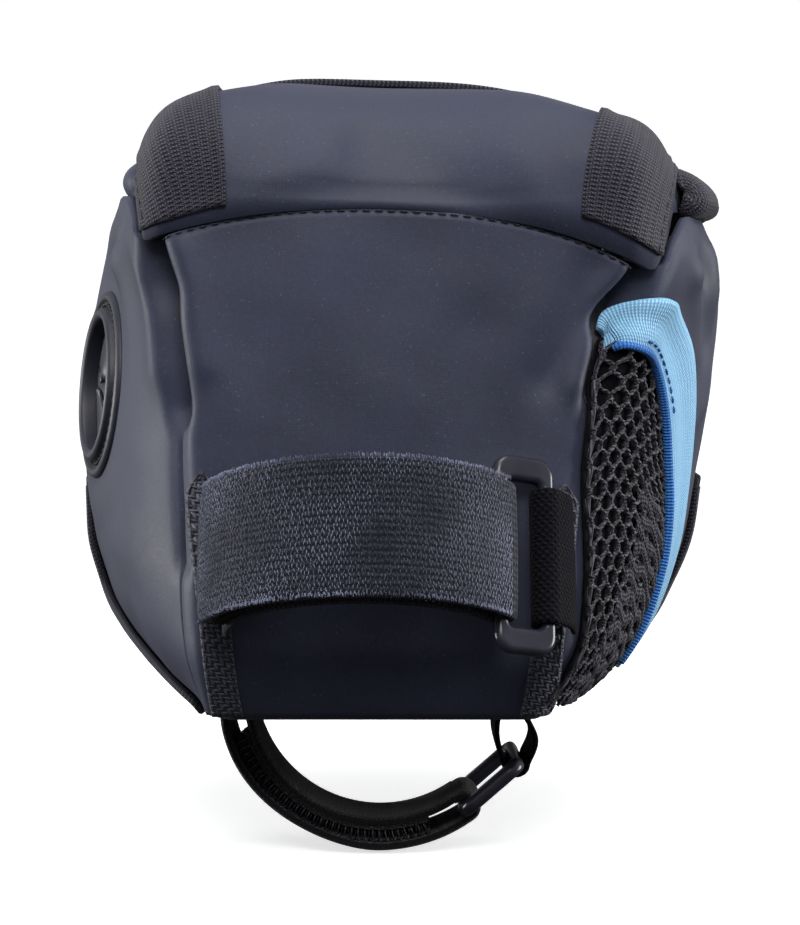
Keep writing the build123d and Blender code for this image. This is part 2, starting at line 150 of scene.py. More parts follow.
def shell(outer, inner, closed=False):
    """A closed skin between two grids of points, as (verts, faces, uvs)."""
    nu, nv, _ = outer.shape
    verts = np.concatenate([outer.reshape(-1, 3), inner.reshape(-1, 3)])
    us, vs = grid_lengths(outer)
    if closed:
        us = np.append(us, us[-1] + np.linalg.norm(outer[0] - outer[-1], axis=1).mean())
    faces, uvs = [], []

    def quad(ids, corners, flip=False):
        faces.append(ids[::-1] if flip else ids)
        uvs.extend(corners[::-1] if flip else corners)

    top = nu * nv
    for i in range(nu if closed else nu - 1):
        k = (i + 1) % nu
        for j in range(nv - 1):
            a, b, c, d = i * nv + j, k * nv + j, k * nv + j + 1, i * nv + j + 1
            square = [(us[i], vs[j]), (us[i + 1], vs[j]), (us[i + 1], vs[j + 1]), (us[i], vs[j + 1])]
            quad((a, b, c, d), square)
            quad((top + a, top + b, top + c, top + d), square, flip=True)
        for j, flip in ((0, True), (nv - 1, False)):
            a, b = i * nv + j, k * nv + j
            rim = [(us[i], vs[j]), (us[i + 1], vs[j]), (us[i + 1], vs[j] + 1), (us[i], vs[j] + 1)]
            quad((a, b, top + b, top + a), rim, flip)
    if not closed:
        for i, flip in ((0, False), (nu - 1, True)):
            for j in range(nv - 1):
                a, b = i * nv + j, i * nv + j + 1
                rim = [(us[i], vs[j]), (us[i], vs[j + 1]), (us[i] + 1, vs[j + 1]), (us[i] + 1, vs[j])]
                quad((a, b, top + b, top + a), rim, flip)
    return verts, faces, uvs


def skin(name, grid, thickness, material, closed=False, lift=0.0, normals=None):
    """A sheet laid on a grid of points: lifted along the normals, with a thickness outwards."""
    n = grid_normals(grid, closed) if normals is None else normals
    thick = np.asarray(thickness, float)
    if thick.ndim:
        thick = np.broadcast_to(thick, grid.shape[:2])[..., None]
    parts = shell(grid + n * (lift + thick), grid + n * lift, closed)
    return make_object(name, [parts], material)


def sweep(path, wide, profile, closed=False):
    """A profile, (across, up) points, carried along a path of points, as (verts, faces, uvs)."""
    path = np.asarray(path, float)
    wide = np.asarray(wide, float)
    if wide.ndim == 1:
        wide = np.repeat(wide[None], len(path), 0)
    if closed:
        t = np.roll(path, -1, 0) - np.roll(path, 1, 0)
    else:
        t = np.gradient(path, axis=0)
    t = unit(t)
    wide = unit(wide - t * (wide * t).sum(1, keepdims=True))
    up = np.cross(wide, t)
    profile = np.asarray(profile, float)
    if profile.ndim == 2:
        profile = np.repeat(profile[None], len(path), 0)
    rings = path[:, None] + wide[:, None] * profile[:, :, :1] + up[:, None] * profile[:, :, 1:]
    n, m, _ = rings.shape
    along = lengths(path)
    middle = profile[n // 2]
    around = lengths(np.vstack([middle, middle[:1]]))
    if closed:
        along = np.append(along, along[-1] + np.linalg.norm(path[0] - path[-1]))
    faces, uvs = [], []
    for i in range(n if closed else n - 1):
        k = (i + 1) % n
        for j in range(m):
            l = (j + 1) % m
            faces.append((i * m + j, k * m + j, k * m + l, i * m + l))
            uvs += [(along[i], around[j]), (along[i + 1], around[j]),
                    (along[i + 1], around[j + 1]), (along[i], around[j + 1])]
    if not closed:
        for i, order in ((0, 1), (n - 1, -1)):
            faces.append([i * m + j for j in range(m)][::order])
            uvs += [(along[i], around[j]) for j in range(m)][::order]
    return rings.reshape(-1, 3), faces, uvs


def flat_profile(width, thickness, steps=4, across=12):
    """The rounded outline of a webbing's cut: width across, thickness up."""
    r = thickness / 2
    points = []
    for side in (1, -1):
        for k in range(steps + 1):
            a = math.radians(-90 * side + 180 * k / steps)
            points.append((side * (width / 2 - r) + r * math.cos(a), r * math.sin(a)))
        for x in np.linspace(side * (width / 2 - r), -side * (width / 2 - r), across)[1:-1]:
            points.append((x, side * r))
    return np.array(points)


def smooth_path(points, count):
    """Points evenly spaced along a Catmull-Rom curve through a few given ones."""
    p = np.asarray(points, float)
    p = np.vstack([2 * p[0] - p[1], p, 2 * p[-1] - p[-2]])
    fine = []
    for i in range(1, len(p) - 2):
        t = np.linspace(0, 1, 40, endpoint=False)[:, None]
        a, b, c, d = p[i - 1], p[i], p[i + 1], p[i + 2]
        fine.append(0.5 * (2 * b + (c - a) * t + (2 * a - 5 * b + 4 * c - d) * t ** 2
                           + (3 * b - a - 3 * c + d) * t ** 3))
    return even(np.vstack(fine + [p[-2][None]]), count)


def lengths(path):
    """Distance along a path at each of its points."""
    return np.concatenate([[0], np.cumsum(np.linalg.norm(np.diff(path, axis=0), axis=1))])


def look_along(path, along, s):
    """Values of a path at a distance s, or at several distances."""
    return np.stack([np.interp(s, along, path[:, k]) for k in range(path.shape[1])], -1)


def even(path, count):
    """The same path with evenly spaced points."""
    path = np.asarray(path, float)
    along = lengths(path)
    return look_along(path, along, np.linspace(0, along[-1], count))


def tubes(runs, radius, sides=5, taper=0.55):
    """Many short tubes with closed, tapered ends, as one (verts, faces, uvs)."""
    verts, faces, uvs = [], [], []
    turn = 2 * np.pi * np.arange(sides) / sides
    base = 0
    for run in runs:
        run = np.asarray(run, float)
        t = unit(np.gradient(run, axis=0))
        a = unit(np.cross(t, np.array([0.31, 0.52, 0.79])))
        b = np.cross(t, a)
        n = len(run)
        r = np.full(n, float(radius))
        r[[0, -1]] *= taper
        rings = run[:, None] + r[:, None, None] * (a[:, None] * np.cos(turn)[None, :, None]
                                                   + b[:, None] * np.sin(turn)[None, :, None])
        verts.append(rings.reshape(-1, 3))
        for i in range(n - 1):
            u0, u1 = i * radius * 3, (i + 1) * radius * 3
            for k in range(sides):
                l = (k + 1) % sides
                faces.append((base + i * sides + k, base + i * sides + l,
                              base + (i + 1) * sides + l, base + (i + 1) * sides + k))
                uvs += [(u0, k * radius), (u0, (k + 1) * radius), (u1, (k + 1) * radius), (u1, k * radius)]
        faces.append([base + k for k in range(sides)][::-1])
        faces.append([base + (n - 1) * sides + k for k in range(sides)])
        uvs += [(0, 0)] * (2 * sides)
        base += n * sides
    return np.concatenate(verts), faces, uvs


def stitches(name, path, normals, material, pitch=2.9, length=2.2, radius=0.2, lift=0.15):
    """A row of separate thread stitches that dip into the cloth at both ends."""
    along = lengths(path)
    normals = np.asarray(normals, float)
    if normals.ndim == 1:
        normals = np.repeat(normals[None], len(path), 0)
    runs = []
    for s in np.arange(pitch / 2, along[-1] - length, pitch):
        at = s + np.linspace(0, length, 5)
        rise = np.array([-0.6, 0.7, 1.0, 0.7, -0.6]) * lift
        runs.append(look_along(path, along, at) + look_along(normals, along, at) * rise[:, None])
    return make_object(name, [tubes(runs, radius)], material)


class Surface:
    """Something to lay trim on: finds where rays meet it, with the outward normal."""

    def __init__(self, *grids):
        verts, faces = [], []
        for grid, closed in grids:
            nu, nv, _ = grid.shape
            base = len(verts)
            verts += grid.reshape(-1, 3).tolist()
            for i in range(nu if closed else nu - 1):
                k = (i + 1) % nu
                for j in range(nv - 1):
                    a, b = base + i * nv + j, base + k * nv + j
                    faces.append((a, b, b + 1, a + 1))
        self.tree = BVHTree.FromPolygons(verts, faces)

    def hit(self, origin, direction):
        place, normal, _, _ = self.tree.ray_cast(Vector(origin), Vector(direction))
        if place is None:
            place, normal, _, _ = self.tree.find_nearest(Vector(origin))
        return np.array(place), np.array(normal)

    def cast(self, origins, directions):
        """Hits for a whole grid of rays, as (points, normals)."""
        points, normals = np.empty_like(origins), np.empty_like(origins)
        for index in np.ndindex(origins.shape[:-1]):
            points[index], normals[index] = self.hit(origins[index], directions[index])
        return points, normals


def blur(values, spread, axis=0, closed=False):
    """Smooths values along one axis with a bell curve."""
    reach = int(math.ceil(3 * spread))
    weights = np.exp(-0.5 * (np.arange(-reach, reach + 1) / spread) ** 2)
    weights /= weights.sum()
    moved = np.moveaxis(np.asarray(values, float), axis, 0)
    pad = [(reach, reach)] + [(0, 0)] * (moved.ndim - 1)
    ends = {"mode": "wrap"} if closed else {"mode": "reflect", "reflect_type": "odd"}
    padded = np.pad(moved, pad, **ends)
    out = sum(w * padded[k:k + len(moved)] for k, w in enumerate(weights))
    return np.moveaxis(out, 0, axis)


# ---------------------------------------------------------------- materials


def srgb(r, g, b):
    """A linear colour from ordinary 0-255 values."""
    out = []
    for v in (r, g, b):
        v /= 255
        out.append(v / 12.92 if v <= 0.04045 else ((v + 0.055) / 1.055) ** 2.4)
    return (*out, 1.0)


class Nodes:
    """Short hand for building a material's node tree."""

    def __init__(self, name, roughness=0.6, specular=0.4, sheen=0.0, coat=0.0):
        self.material = bpy.data.materials.new(name)
        self.material.use_nodes = True
        self.tree = self.material.node_tree
        self.shader = self.tree.nodes["Principled BSDF"]
        self.shader.inputs["Roughness"].default_value = roughness
        self.shader.inputs["Specular IOR Level"].default_value = specular
        self.shader.inputs["Sheen Weight"].default_value = sheen
        self.shader.inputs["Sheen Roughness"].default_value = 0.5
        self.shader.inputs["Coat Weight"].default_value = coat

    def node(self, kind, **inputs):
        node = self.tree.nodes.new(kind)
        for key, value in inputs.items():
            self.put(node.inputs[key.replace("_", " ")], value)
        return node

    def put(self, socket, value):
        if isinstance(value, bpy.types.NodeSocket):
            self.tree.links.new(value, socket)
        else:
            socket.default_value = value

    def math(self, operation, a, b=0.0, c=0.0):
        node = self.tree.nodes.new("ShaderNodeMath")
        node.operation = operation
        for socket, value in zip(node.inputs, (a, b, c)):
            self.put(socket, value)
        return node.outputs[0]

    def mapping(self, low, high, value, to_low=0.0, to_high=1.0):
        node = self.node("ShaderNodeMapRange", Value=value)
        node.inputs["From Min"].default_value = low
        node.inputs["From Max"].default_value = high
        node.inputs["To Min"].default_value = to_low
        node.inputs["To Max"].default_value = to_high
        return node.outputs[0]

    def cloth(self):
        """(u, v) along the cloth, in metres."""
        uv = self.tree.nodes.new("ShaderNodeUVMap")
        uv.uv_map = "cloth"
        split = self.node("ShaderNodeSeparateXYZ", Vector=uv.outputs[0])
        return uv.outputs[0], split.outputs[0], split.outputs[1]

    def place(self):
        return self.tree.nodes.new("ShaderNodeTexCoord").outputs["Object"]

    def noise(self, vector, scale, detail=3.0, rough=0.5):
        node = self.node("ShaderNodeTexNoise", Vector=vector, Scale=scale, Detail=detail, Roughness=rough)
        return node.outputs["Fac"]

    def wave(self, value, pitch, phase=0.0):
        """A wave between 0 and 1 that repeats every pitch."""
        turn = self.math("MULTIPLY_ADD", value, 2 * math.pi / pitch, phase)
        return self.math("MULTIPLY_ADD", self.math("SINE", turn), 0.5, 0.5)

    def mix(self, factor, a, b):
        node = self.tree.nodes.new("ShaderNodeMix")
        node.data_type = "RGBA"
        self.put(node.inputs[0], factor)
        self.put(node.inputs[6], a)
        self.put(node.inputs[7], b)
        return node.outputs[2]

    def bump(self, height, distance, strength=1.0):
        node = self.node("ShaderNodeBump", Height=height, Distance=distance, Strength=strength)
        if self.shader.inputs["Normal"].links:
            self.put(node.inputs["Normal"], self.shader.inputs["Normal"].links[0].from_socket)
        self.put(self.shader.inputs["Normal"], node.outputs[0])

    def color(self, value):
        self.put(self.shader.inputs["Base Color"], value)

    def rough(self, value):
        self.put(self.shader.inputs["Roughness"], value)


def coated_fabric(name, dark, light, grain=1.0):
    """Matt tarpaulin: a fine weave under a rubbery coat, cloudy in tone."""
    m = Nodes(name, roughness=0.5, specular=0.28, sheen=0.04)
    place = m.place()
    _, u, v = m.cloth()
    cloud = m.noise(place, 45.0, 4.0, 0.55)
    speck = m.noise(place, 1500.0, 2.0, 0.6)
    tone = m.math("ADD", m.math("MULTIPLY", cloud, 0.7), m.math("MULTIPLY", speck, 0.3))
    cloth = m.mix(m.mapping(0.3, 0.7, tone), srgb(*dark), srgb(*light))
    dust = m.math("MULTIPLY", m.mapping(0.68, 0.76, m.noise(place, 2300.0, 2.0, 0.5)), 0.4)
    m.color(m.mix(dust, cloth, srgb(*(min(255, 2 * c) for c in light))))
    weave = m.math("MULTIPLY", m.wave(u, 0.55 * MM), m.wave(v, 0.55 * MM))
    m.bump(weave, 0.02 * MM * grain, 0.4)
    m.bump(speck, 0.05 * MM * grain, 0.7)
    m.bump(m.noise(place, 130.0, 3.0), 0.25 * MM, 0.5)
    m.rough(m.mapping(0.3, 0.7, cloud, 0.5, 0.64))
    return m.material


def ribbed_webbing(name, dark, light, rib=1.1, yarn=0.8, depth=0.22, slant=0.5, low=0.15, shine=0.3):
    """Woven tape: slanted yarns in ribs that run across it."""
    m = Nodes(name, roughness=0.65, specular=shine, sheen=0.33 * shine)
    place = m.place()
    _, u, v = m.cloth()
    turn = m.math("MULTIPLY_ADD", v, slant, u)
    back = m.math("MULTIPLY_ADD", v, -slant, u)
    ribs = m.wave(turn, rib * MM)
    yarns = m.wave(v, yarn * MM)
    cross = m.wave(back, rib * MM)
    checks = m.math("MULTIPLY", ribs, m.math("MULTIPLY_ADD", yarns, 0.6, 0.4))
    height = m.math("MAXIMUM", checks, m.math("MULTIPLY", cross, 0.55))
    fuzz = m.noise(place, 2600.0, 2.0, 0.7)
    cloud = m.noise(place, 60.0, 3.0)
    # Colour follows rib height plus fuzz. This is the weave's own pattern, and for the woven tape the light
    # crests are painted highlight.
    tone = m.math("MULTIPLY_ADD", height, 0.65, m.math("MULTIPLY", fuzz, 0.35))
    m.color(m.mix(m.mapping(low, 0.95, tone), srgb(*dark), srgb(*light)))
    m.bump(height, depth * MM)
    m.bump(fuzz, 0.1 * MM, 0.8)
    m.rough(m.mapping(0.3, 0.7, cloud, 0.62, 0.78))
    return m.material


def loop_pile(name, dark, light):
    """Hook-and-loop webbing: rows of small brushed loops."""
    m = Nodes(name, roughness=0.8, specular=0.2, sheen=0.12)
    place = m.place()
    vector, u, v = m.cloth()
    wobble = m.math("MULTIPLY_ADD", m.noise(vector, 900.0, 2.0), 0.9 * MM, -0.45 * MM)
    rows = m.wave(m.math("ADD", v, wobble), 1.25 * MM)
    knots = m.wave(m.math("ADD", u, wobble), 0.95 * MM)
    loops = m.math("MULTIPLY", rows, m.math("MULTIPLY_ADD", knots, 0.7, 0.3))
    fuzz = m.noise(place, 1900.0, 4.0, 0.75)
    height = m.math("MULTIPLY_ADD", loops, 0.7, m.math("MULTIPLY", fuzz, 0.5))
    m.color(m.mix(m.mapping(0.2, 0.85, height), srgb(*dark), srgb(*light)))
    m.bump(height, 0.4 * MM)
    return m.material


def elastic(name, dark, light):
    """Bright elastic: fine ribs across the band, each with small stitches."""
    m = Nodes(name, roughness=0.6, specular=0.3, sheen=0.1)
    place = m.place()
    _, u, v = m.cloth()
    ribs = m.wave(u, 0.62 * MM)
    columns = m.wave(v, 0.8 * MM)
    height = m.math("MULTIPLY", ribs, m.math("MULTIPLY_ADD", columns, 0.45, 0.55))
    fuzz = m.noise(place, 2200.0, 2.0, 0.6)
    tone = m.math("MULTIPLY_ADD", height, 0.75, m.math("MULTIPLY", fuzz, 0.25))
    m.color(m.mix(m.mapping(0.05, 0.8, tone), srgb(*dark), srgb(*light)))
    m.bump(height, 0.25 * MM)
    m.bump(fuzz, 0.08 * MM, 0.6)
    return m.material


def basket(name, dark, light, pitch=1.7, depth=0.45):
    """Coarse nylon: thick yarns over and under each other."""
    m = Nodes(name, roughness=0.55, specular=0.35, sheen=0.08)
    place = m.place()
    _, u, v = m.cloth()
    a = m.wave(u, pitch * MM)
    b = m.wave(v, pitch * 0.8 * MM)
    swap = m.wave(m.math("ADD", u, v), pitch * 2 * MM)
    height = m.math("MAXIMUM", m.math("MULTIPLY", a, swap),
                    m.math("MULTIPLY", b, m.math("SUBTRACT", 1.0, swap)))
    fuzz = m.noise(place, 2400.0, 2.0, 0.6)
    m.color(m.mix(m.mapping(0.0, 0.9, height), srgb(*dark), srgb(*light)))
    m.bump(height, depth * MM)
    m.bump(fuzz, 0.08 * MM, 0.6)
    return m.material


def moulded(name, dark, light, roughness, grain=0.05, specular=0.5, scale=900.0):
    """Rubber or plastic from a mould, with a fine grain and rubbed high spots."""
    m = Nodes(name, roughness=roughness, specular=specular)
    place = m.place()
    cloud = m.noise(place, 70.0, 4.0)
    speck = m.noise(place, scale, 2.0, 0.6)
    m.color(m.mix(m.mapping(0.3, 0.7, cloud), srgb(*dark), srgb(*light)))
    m.bump(speck, grain * MM, 0.8)
    m.rough(m.mapping(0.25, 0.75, cloud, roughness * 0.85, min(1.0, roughness * 1.15)))
    return m.material


def thread(name, dark, light, pitch=0.35):
    """Twisted thread in ply stripes: the twist on sewing thread, and painted glints along the twist on the
    knit yarn.
    """
    m = Nodes(name, roughness=0.6, specular=0.3, sheen=0.2)
    _, u, v = m.cloth()
    ply_and_painted_glint = m.wave(m.math("ADD", u, v), pitch * MM)
    # The light end of the ply stripes is painted glint where this makes the knit yarn.
    m.color(m.mix(m.mapping(0.45, 1.0, ply_and_painted_glint), srgb(*dark), srgb(*light)))
    m.bump(ply_and_painted_glint, 0.05 * MM)
    return m.material


def clear_film(name):
    """Soft clear sheet for the phone window, slightly cloudy and rippled."""
    m = Nodes(name, roughness=0.12, specular=0.6)
    place = m.place()
    ripple = m.noise(place, 60.0, 2.0)
    m.shader.inputs["Alpha"].default_value = 0.32
    m.color(m.mix(m.mapping(0.3, 0.7, ripple), srgb(190, 196, 202), srgb(222, 226, 230)))
    m.bump(ripple, 0.5 * MM, 0.5)
    m.rough(m.mapping(0.3, 0.7, ripple, 0.08, 0.2))
    return m.material


MATERIALS = {
    "grey": coated_fabric("coated_grey", (46, 49, 65), (60, 63, 84)),
    "black": coated_fabric("coated_black", (15, 15, 19), (24, 24, 30)),
    # Woven tape: the light colour, which only the rib crests and fuzz specks reach, is painted highlight on a
    # near-black weave.
    "tape": ribbed_webbing("woven_tape", (7, 7, 11), (100, 97, 120), rib=0.8, yarn=0.62, slant=0.2, low=0.4),
    "anchor": ribbed_webbing("anchor_webbing", (2, 2, 4), (30, 29, 40),
                            rib=1.2, slant=0.9, low=0.4, shine=0.06),
    "loop": loop_pile("loop_webbing", (11, 12, 17), (44, 47, 62)),
    "loop_black": loop_pile("loop_webbing_black", (6, 6, 9), (24, 24, 31)),
    "hook": basket("hook_tape", (5, 5, 8), (22, 22, 28), pitch=1.1),
    "hook_glint": moulded("hook_plastic", (14, 14, 18), (30, 30, 36), 0.3, grain=0.02),
    "nylon": basket("coarse_nylon", (8, 8, 12), (84, 84, 104), pitch=1.1, depth=0.35),
    "blue": elastic("blue_elastic", (96, 172, 230), (190, 234, 255)),
    "blue_edge": elastic("blue_elastic_edge", (22, 84, 166), (64, 140, 222)),
    # Knit yarn: its light colour, in narrow ply stripes, is painted glint on black yarn.
    "knit": thread("knit_yarn", (6, 6, 9), (80, 78, 94), 1.1),
    "knit_back": moulded("knit_backing", (6, 6, 8), (16, 15, 20), 0.9,
                         grain=0.25, specular=0.1, scale=2200.0),
    # Strap nap: a random tone, and its light end, far above the loop webbing's colour, is painted highlight
    # on the standing fibres.
    "nap": moulded("strap_nap", (38, 41, 56), (138, 142, 166), 0.6, grain=0.05, specular=0.3, scale=2600.0),
    "rubber": moulded("port_rubber", (30, 31, 40), (46, 47, 59), 0.5),
    "plastic": moulded("moulded_plastic", (28, 28, 37), (48, 48, 60), 0.26, grain=0.02),
    "grip": moulded("grip_rubber", (16, 16, 19), (26, 26, 30), 0.8, grain=0.15),
    "thread": thread("sewing_thread", (8, 8, 11), (30, 30, 37)),
    "lining": ribbed_webbing("lining_cloth", (46, 49, 57), (84, 88, 98),
                            rib=0.7, yarn=0.7, depth=0.06, slant=0.0),
    "foam": moulded("foam", (58, 58, 62), (84, 84, 90), 0.9, grain=0.2),
    "board": moulded("board_plastic", (34, 34, 38), (48, 48, 54), 0.55),
    "zip": ribbed_webbing("zip_tape", (10, 10, 13), (38, 38, 45), rib=0.6, yarn=0.5, depth=0.08, slant=0.0),
    "teeth": moulded("zip_teeth", (12, 12, 15), (28, 28, 33), 0.35, grain=0.02),
    "slider": moulded("slider_paint", (26, 26, 31), (42, 42, 50), 0.35, grain=0.03),
    "window": clear_film("window_film"),
}

# ---------------------------------------------------------------- the bag's own shape

# x of the two front edges at heights z, and half widths at the fullest part of each side
FRONT_EDGE = {
    "left": ((1.5, 14, 45, 63, 77, 89, 98), (36.0, 38.0, 38.5, 39.0, 41.0, 45.5, 47.5)),
    "right": ((1.5, 14, 30, 48, 63, 76, 84, 98), (25.5, 31.0, 31.5, 30.5, 32.5, 36.5, 44.0, 47.0)),
}
BELLY_LEVELS = (1.5, 4, 9.4, 19.7, 32, 46, 62, 81, 94, 106)
BELLY = {
    "left": (BELLY_LEVELS, (34.0, 42.0, 51.5, 60.0, 63.6, 64.2, 63.8, 62.4, 59.6, 55.5)),
    "right": (BELLY_LEVELS, (29.0, 36.0, 45.0, 54.4, 60.0, 62.8, 65.6, 67.4, 65.6, 60.5)),
}
REAR_SHARE = 0.72
FULLEST = 0.55
RING_FRONT, RING_SIDE, RING_REAR = 88, 178, 74
RIGHT_START = RING_FRONT
REAR_START = RIGHT_START + RING_SIDE
LEFT_START = REAR_START + RING_REAR
RING = LEFT_START + RING_SIDE
FRONT_F, SIDE_T, REAR_F = (np.arange(n) / n for n in (RING_FRONT, RING_SIDE, RING_REAR))
FRONT_AT, RIGHT_AT = slice(0, RIGHT_START), slice(RIGHT_START, REAR_START)
REAR_AT, LEFT_AT = slice(REAR_START, LEFT_START), slice(LEFT_START, RING)
CORNER_SPREAD = 2.6
BODY_ROWS = 62
LID_ROWS = 30
SIDE_SETBACK = 2.4
HEM_RISE = 1.6
CORNER_DROP = {"left": 2.4, "right": 3.0}
LID_TUCK = {"left": 4.2, "right": 3.2}
SEAM_DROP = {"left": 6.2, "right": 9.5}
LEAN = 0.045


def soft_table(table, heights, spread=5):
    """Values read from a table of heights with its corners rounded."""
    zs, values = table
    fine = np.arange(zs[0] - 4, zs[-1] + 4, 0.5)
    return np.interp(heights, fine, blur(np.interp(fine, zs, values), spread))


def half_width(side, t, z):
    """Distance from the middle to one side, at a share t of the length and height z."""
    edge = soft_table(FRONT_EDGE[side], z)
    belly = soft_table(BELLY[side], z)
    rear = REAR_SHARE * belly
    ahead = edge + (belly - edge) * (1 - np.clip(1 - t / FULLEST, 0, 1) ** 3)
    behind = rear + (belly - rear) * (1 - np.clip((t - FULLEST) / (1 - FULLEST), 0, 1) ** 2.4)
    return np.where(t < FULLEST, ahead, behind)


def outline(z):
    """(x, y) round the bag at heights z, an array with one row for each point of the ring."""
    x, y = np.empty_like(z), np.empty_like(z)
    side_t = SIDE_T[:, None]
    left, right = (soft_table(FRONT_EDGE[side], z[FRONT_AT]) for side in ("left", "right"))
    x[FRONT_AT], y[FRONT_AT] = -left + (left + right) * FRONT_F[:, None], FRONT_Y
    x[RIGHT_AT], y[RIGHT_AT] = half_width("right", side_t, z[RIGHT_AT]), FRONT_Y + LENGTH * side_t
    end = np.ones_like(z[REAR_AT])
    left, right = (half_width(side, end, z[REAR_AT]) for side in ("left", "right"))
    x[REAR_AT], y[REAR_AT] = right - (left + right) * REAR_F[:, None], REAR_Y
    x[LEFT_AT], y[LEFT_AT] = -half_width("left", 1 - side_t, z[LEFT_AT]), REAR_Y - LENGTH * side_t
    x, y = blur(x, CORNER_SPREAD, closed=True), blur(y, CORNER_SPREAD, closed=True)
    tuck = np.clip((15 - z) / 13.5, 0, 1) ** 2
    y = y + 7 * tuck * ease(-60, FRONT_Y, y) - 5 * tuck * ease(60, REAR_Y, y)
    return x, y


def seam_height(x, y):
    """Height of the lid's parting line: it climbs to the rear and droops at the front corners."""
    droop = np.where(x < 0, SEAM_DROP["left"], SEAM_DROP["right"]) * np.minimum(np.abs(x) / 45, 1.05) ** 2.3
    return SEAM_Z + (y - FRONT_Y) * SEAM_CLIMB - droop * ease(-72, -90, y)


def lean(points):
    """The upper part of the bag sits a little higher on the left."""
    points = points.copy()
    points[..., 2] -= LEAN * points[..., 0] * ease(60, 110, points[..., 2])
    return points


def fold(a, z, start, end, width, height):
    """A soft ridge, or a valley where height is negative, along a line from start to end."""
    start, end = np.array(start, float), np.array(end, float)
    run = end - start
    share = ((a - start[0]) * run[0] + (z - start[1]) * run[1]) / (run @ run)
    near = np.clip(share, 0, 1)
    away = np.hypot(a - start[0] - run[0] * near, z - start[1] - run[1] * near)
    return height * np.exp(-((away / width) ** 2))


def ripple(a, z, seed, size, count=7):
    """Gentle unevenness, the sum of a few waves in different directions."""
    rng = np.random.default_rng(seed)
    total = np.zeros_like(a)
    for _ in range(count):
        angle, phase = rng.uniform(0, math.pi), rng.uniform(0, 2 * math.pi)
        wave = rng.uniform(0.6, 1.6) * size
        total += np.sin(2 * math.pi * (a * math.cos(angle) + z * math.sin(angle)) / wave + phase)
    return total / count


# Folds behind the two front corners and down the sides: distance behind the corner and height,
# from and to, then width and height of the fold
SIDE_FOLDS = {
    "left": [
        ((3.2, 93), (3.6, 80), 3.4, -10.0),
        ((3.6, 80), (3.0, 58), 2.5, -7.0),
        ((3.0, 58), (2.5, 30), 2.4, -1.4),
        ((-3.0, 86), (-3.5, 66), 3.5, 1.3),
        ((11, 92), (9, 66), 5.0, 1.6),
        ((9, 96), (30, 86), 4.0, 1.1),
        ((30, 86), (46, 76), 4.4, 0.9),
        ((18, 95), (40, 86), 4.4, -1.2),
        ((50, 80), (62, 40), 9.0, 0.9),
        ((16, 60), (22, 18), 8.0, 0.8),
        ((100, 95), (92, 40), 9.0, -1.2),
        ((112, 92), (125, 50), 8.0, 1.1),
        ((150, 90), (142, 45), 9.0, -1.3),
    ],
    "right": [
        ((2.6, 90), (3.5, 76), 4.0, -8.0),
        ((3.5, 76), (4.0, 62), 3.2, -3.5),
        ((13, 94), (12, 74), 5.5, 1.8),
        ((20, 96), (33, 86), 3.6, 1.1),
        ((33, 86), (46, 70), 3.8, 0.9),
        ((24, 96), (40, 85), 4.0, -1.2),
        ((44, 96), (56, 60), 4.5, 1.4),
        ((38, 96), (50, 72), 3.5, -1.3),
        ((96, 94), (88, 45), 9.0, -1.2),
        ((118, 92), (128, 52), 8.0, 1.1),
        ((148, 90), (140, 45), 9.0, -1.3),
    ],
}
FRONT_FOLDS = [
    ((43.0, 84), (33.0, 62), 3.0, 1.6),
    ((36.0, 84), (27.0, 64), 4.5, -1.4),
    ((14, 70), (20, 50), 9.0, -0.9),
    ((-16, 80), (-4, 62), 14.0, 0.6),
    ((-30, 60), (-28, 50), 7.0, 0.6),
]
BROW_FOLDS = [
    ((-6, 13), (10, 5), 6.0, -0.9),
    ((-26, 4), (-14, 9), 5.0, 0.7),
    ((22, 12), (28, 4), 5.0, 0.6),
]
PORT_CENTRE = np.array([-59.2, -46.0, 63.5])
PORT_AXIS = unit([-0.955, -0.29, 0.07])
PORT_HOLE_R = 14.6
PORT_CUT_DEPTH = 20


def port_seat(points):
    """Presses the side flat where the cable port's flange sits."""
    from_centre = points - PORT_CENTRE
    depth = from_centre @ PORT_AXIS
    radial = np.linalg.norm(from_centre - depth[..., None] * PORT_AXIS, axis=-1)
    near = ease(30, 19, radial) * (points[..., 0] < 0) * (np.abs(depth) < 25)
    return points - (depth * near)[..., None] * PORT_AXIS


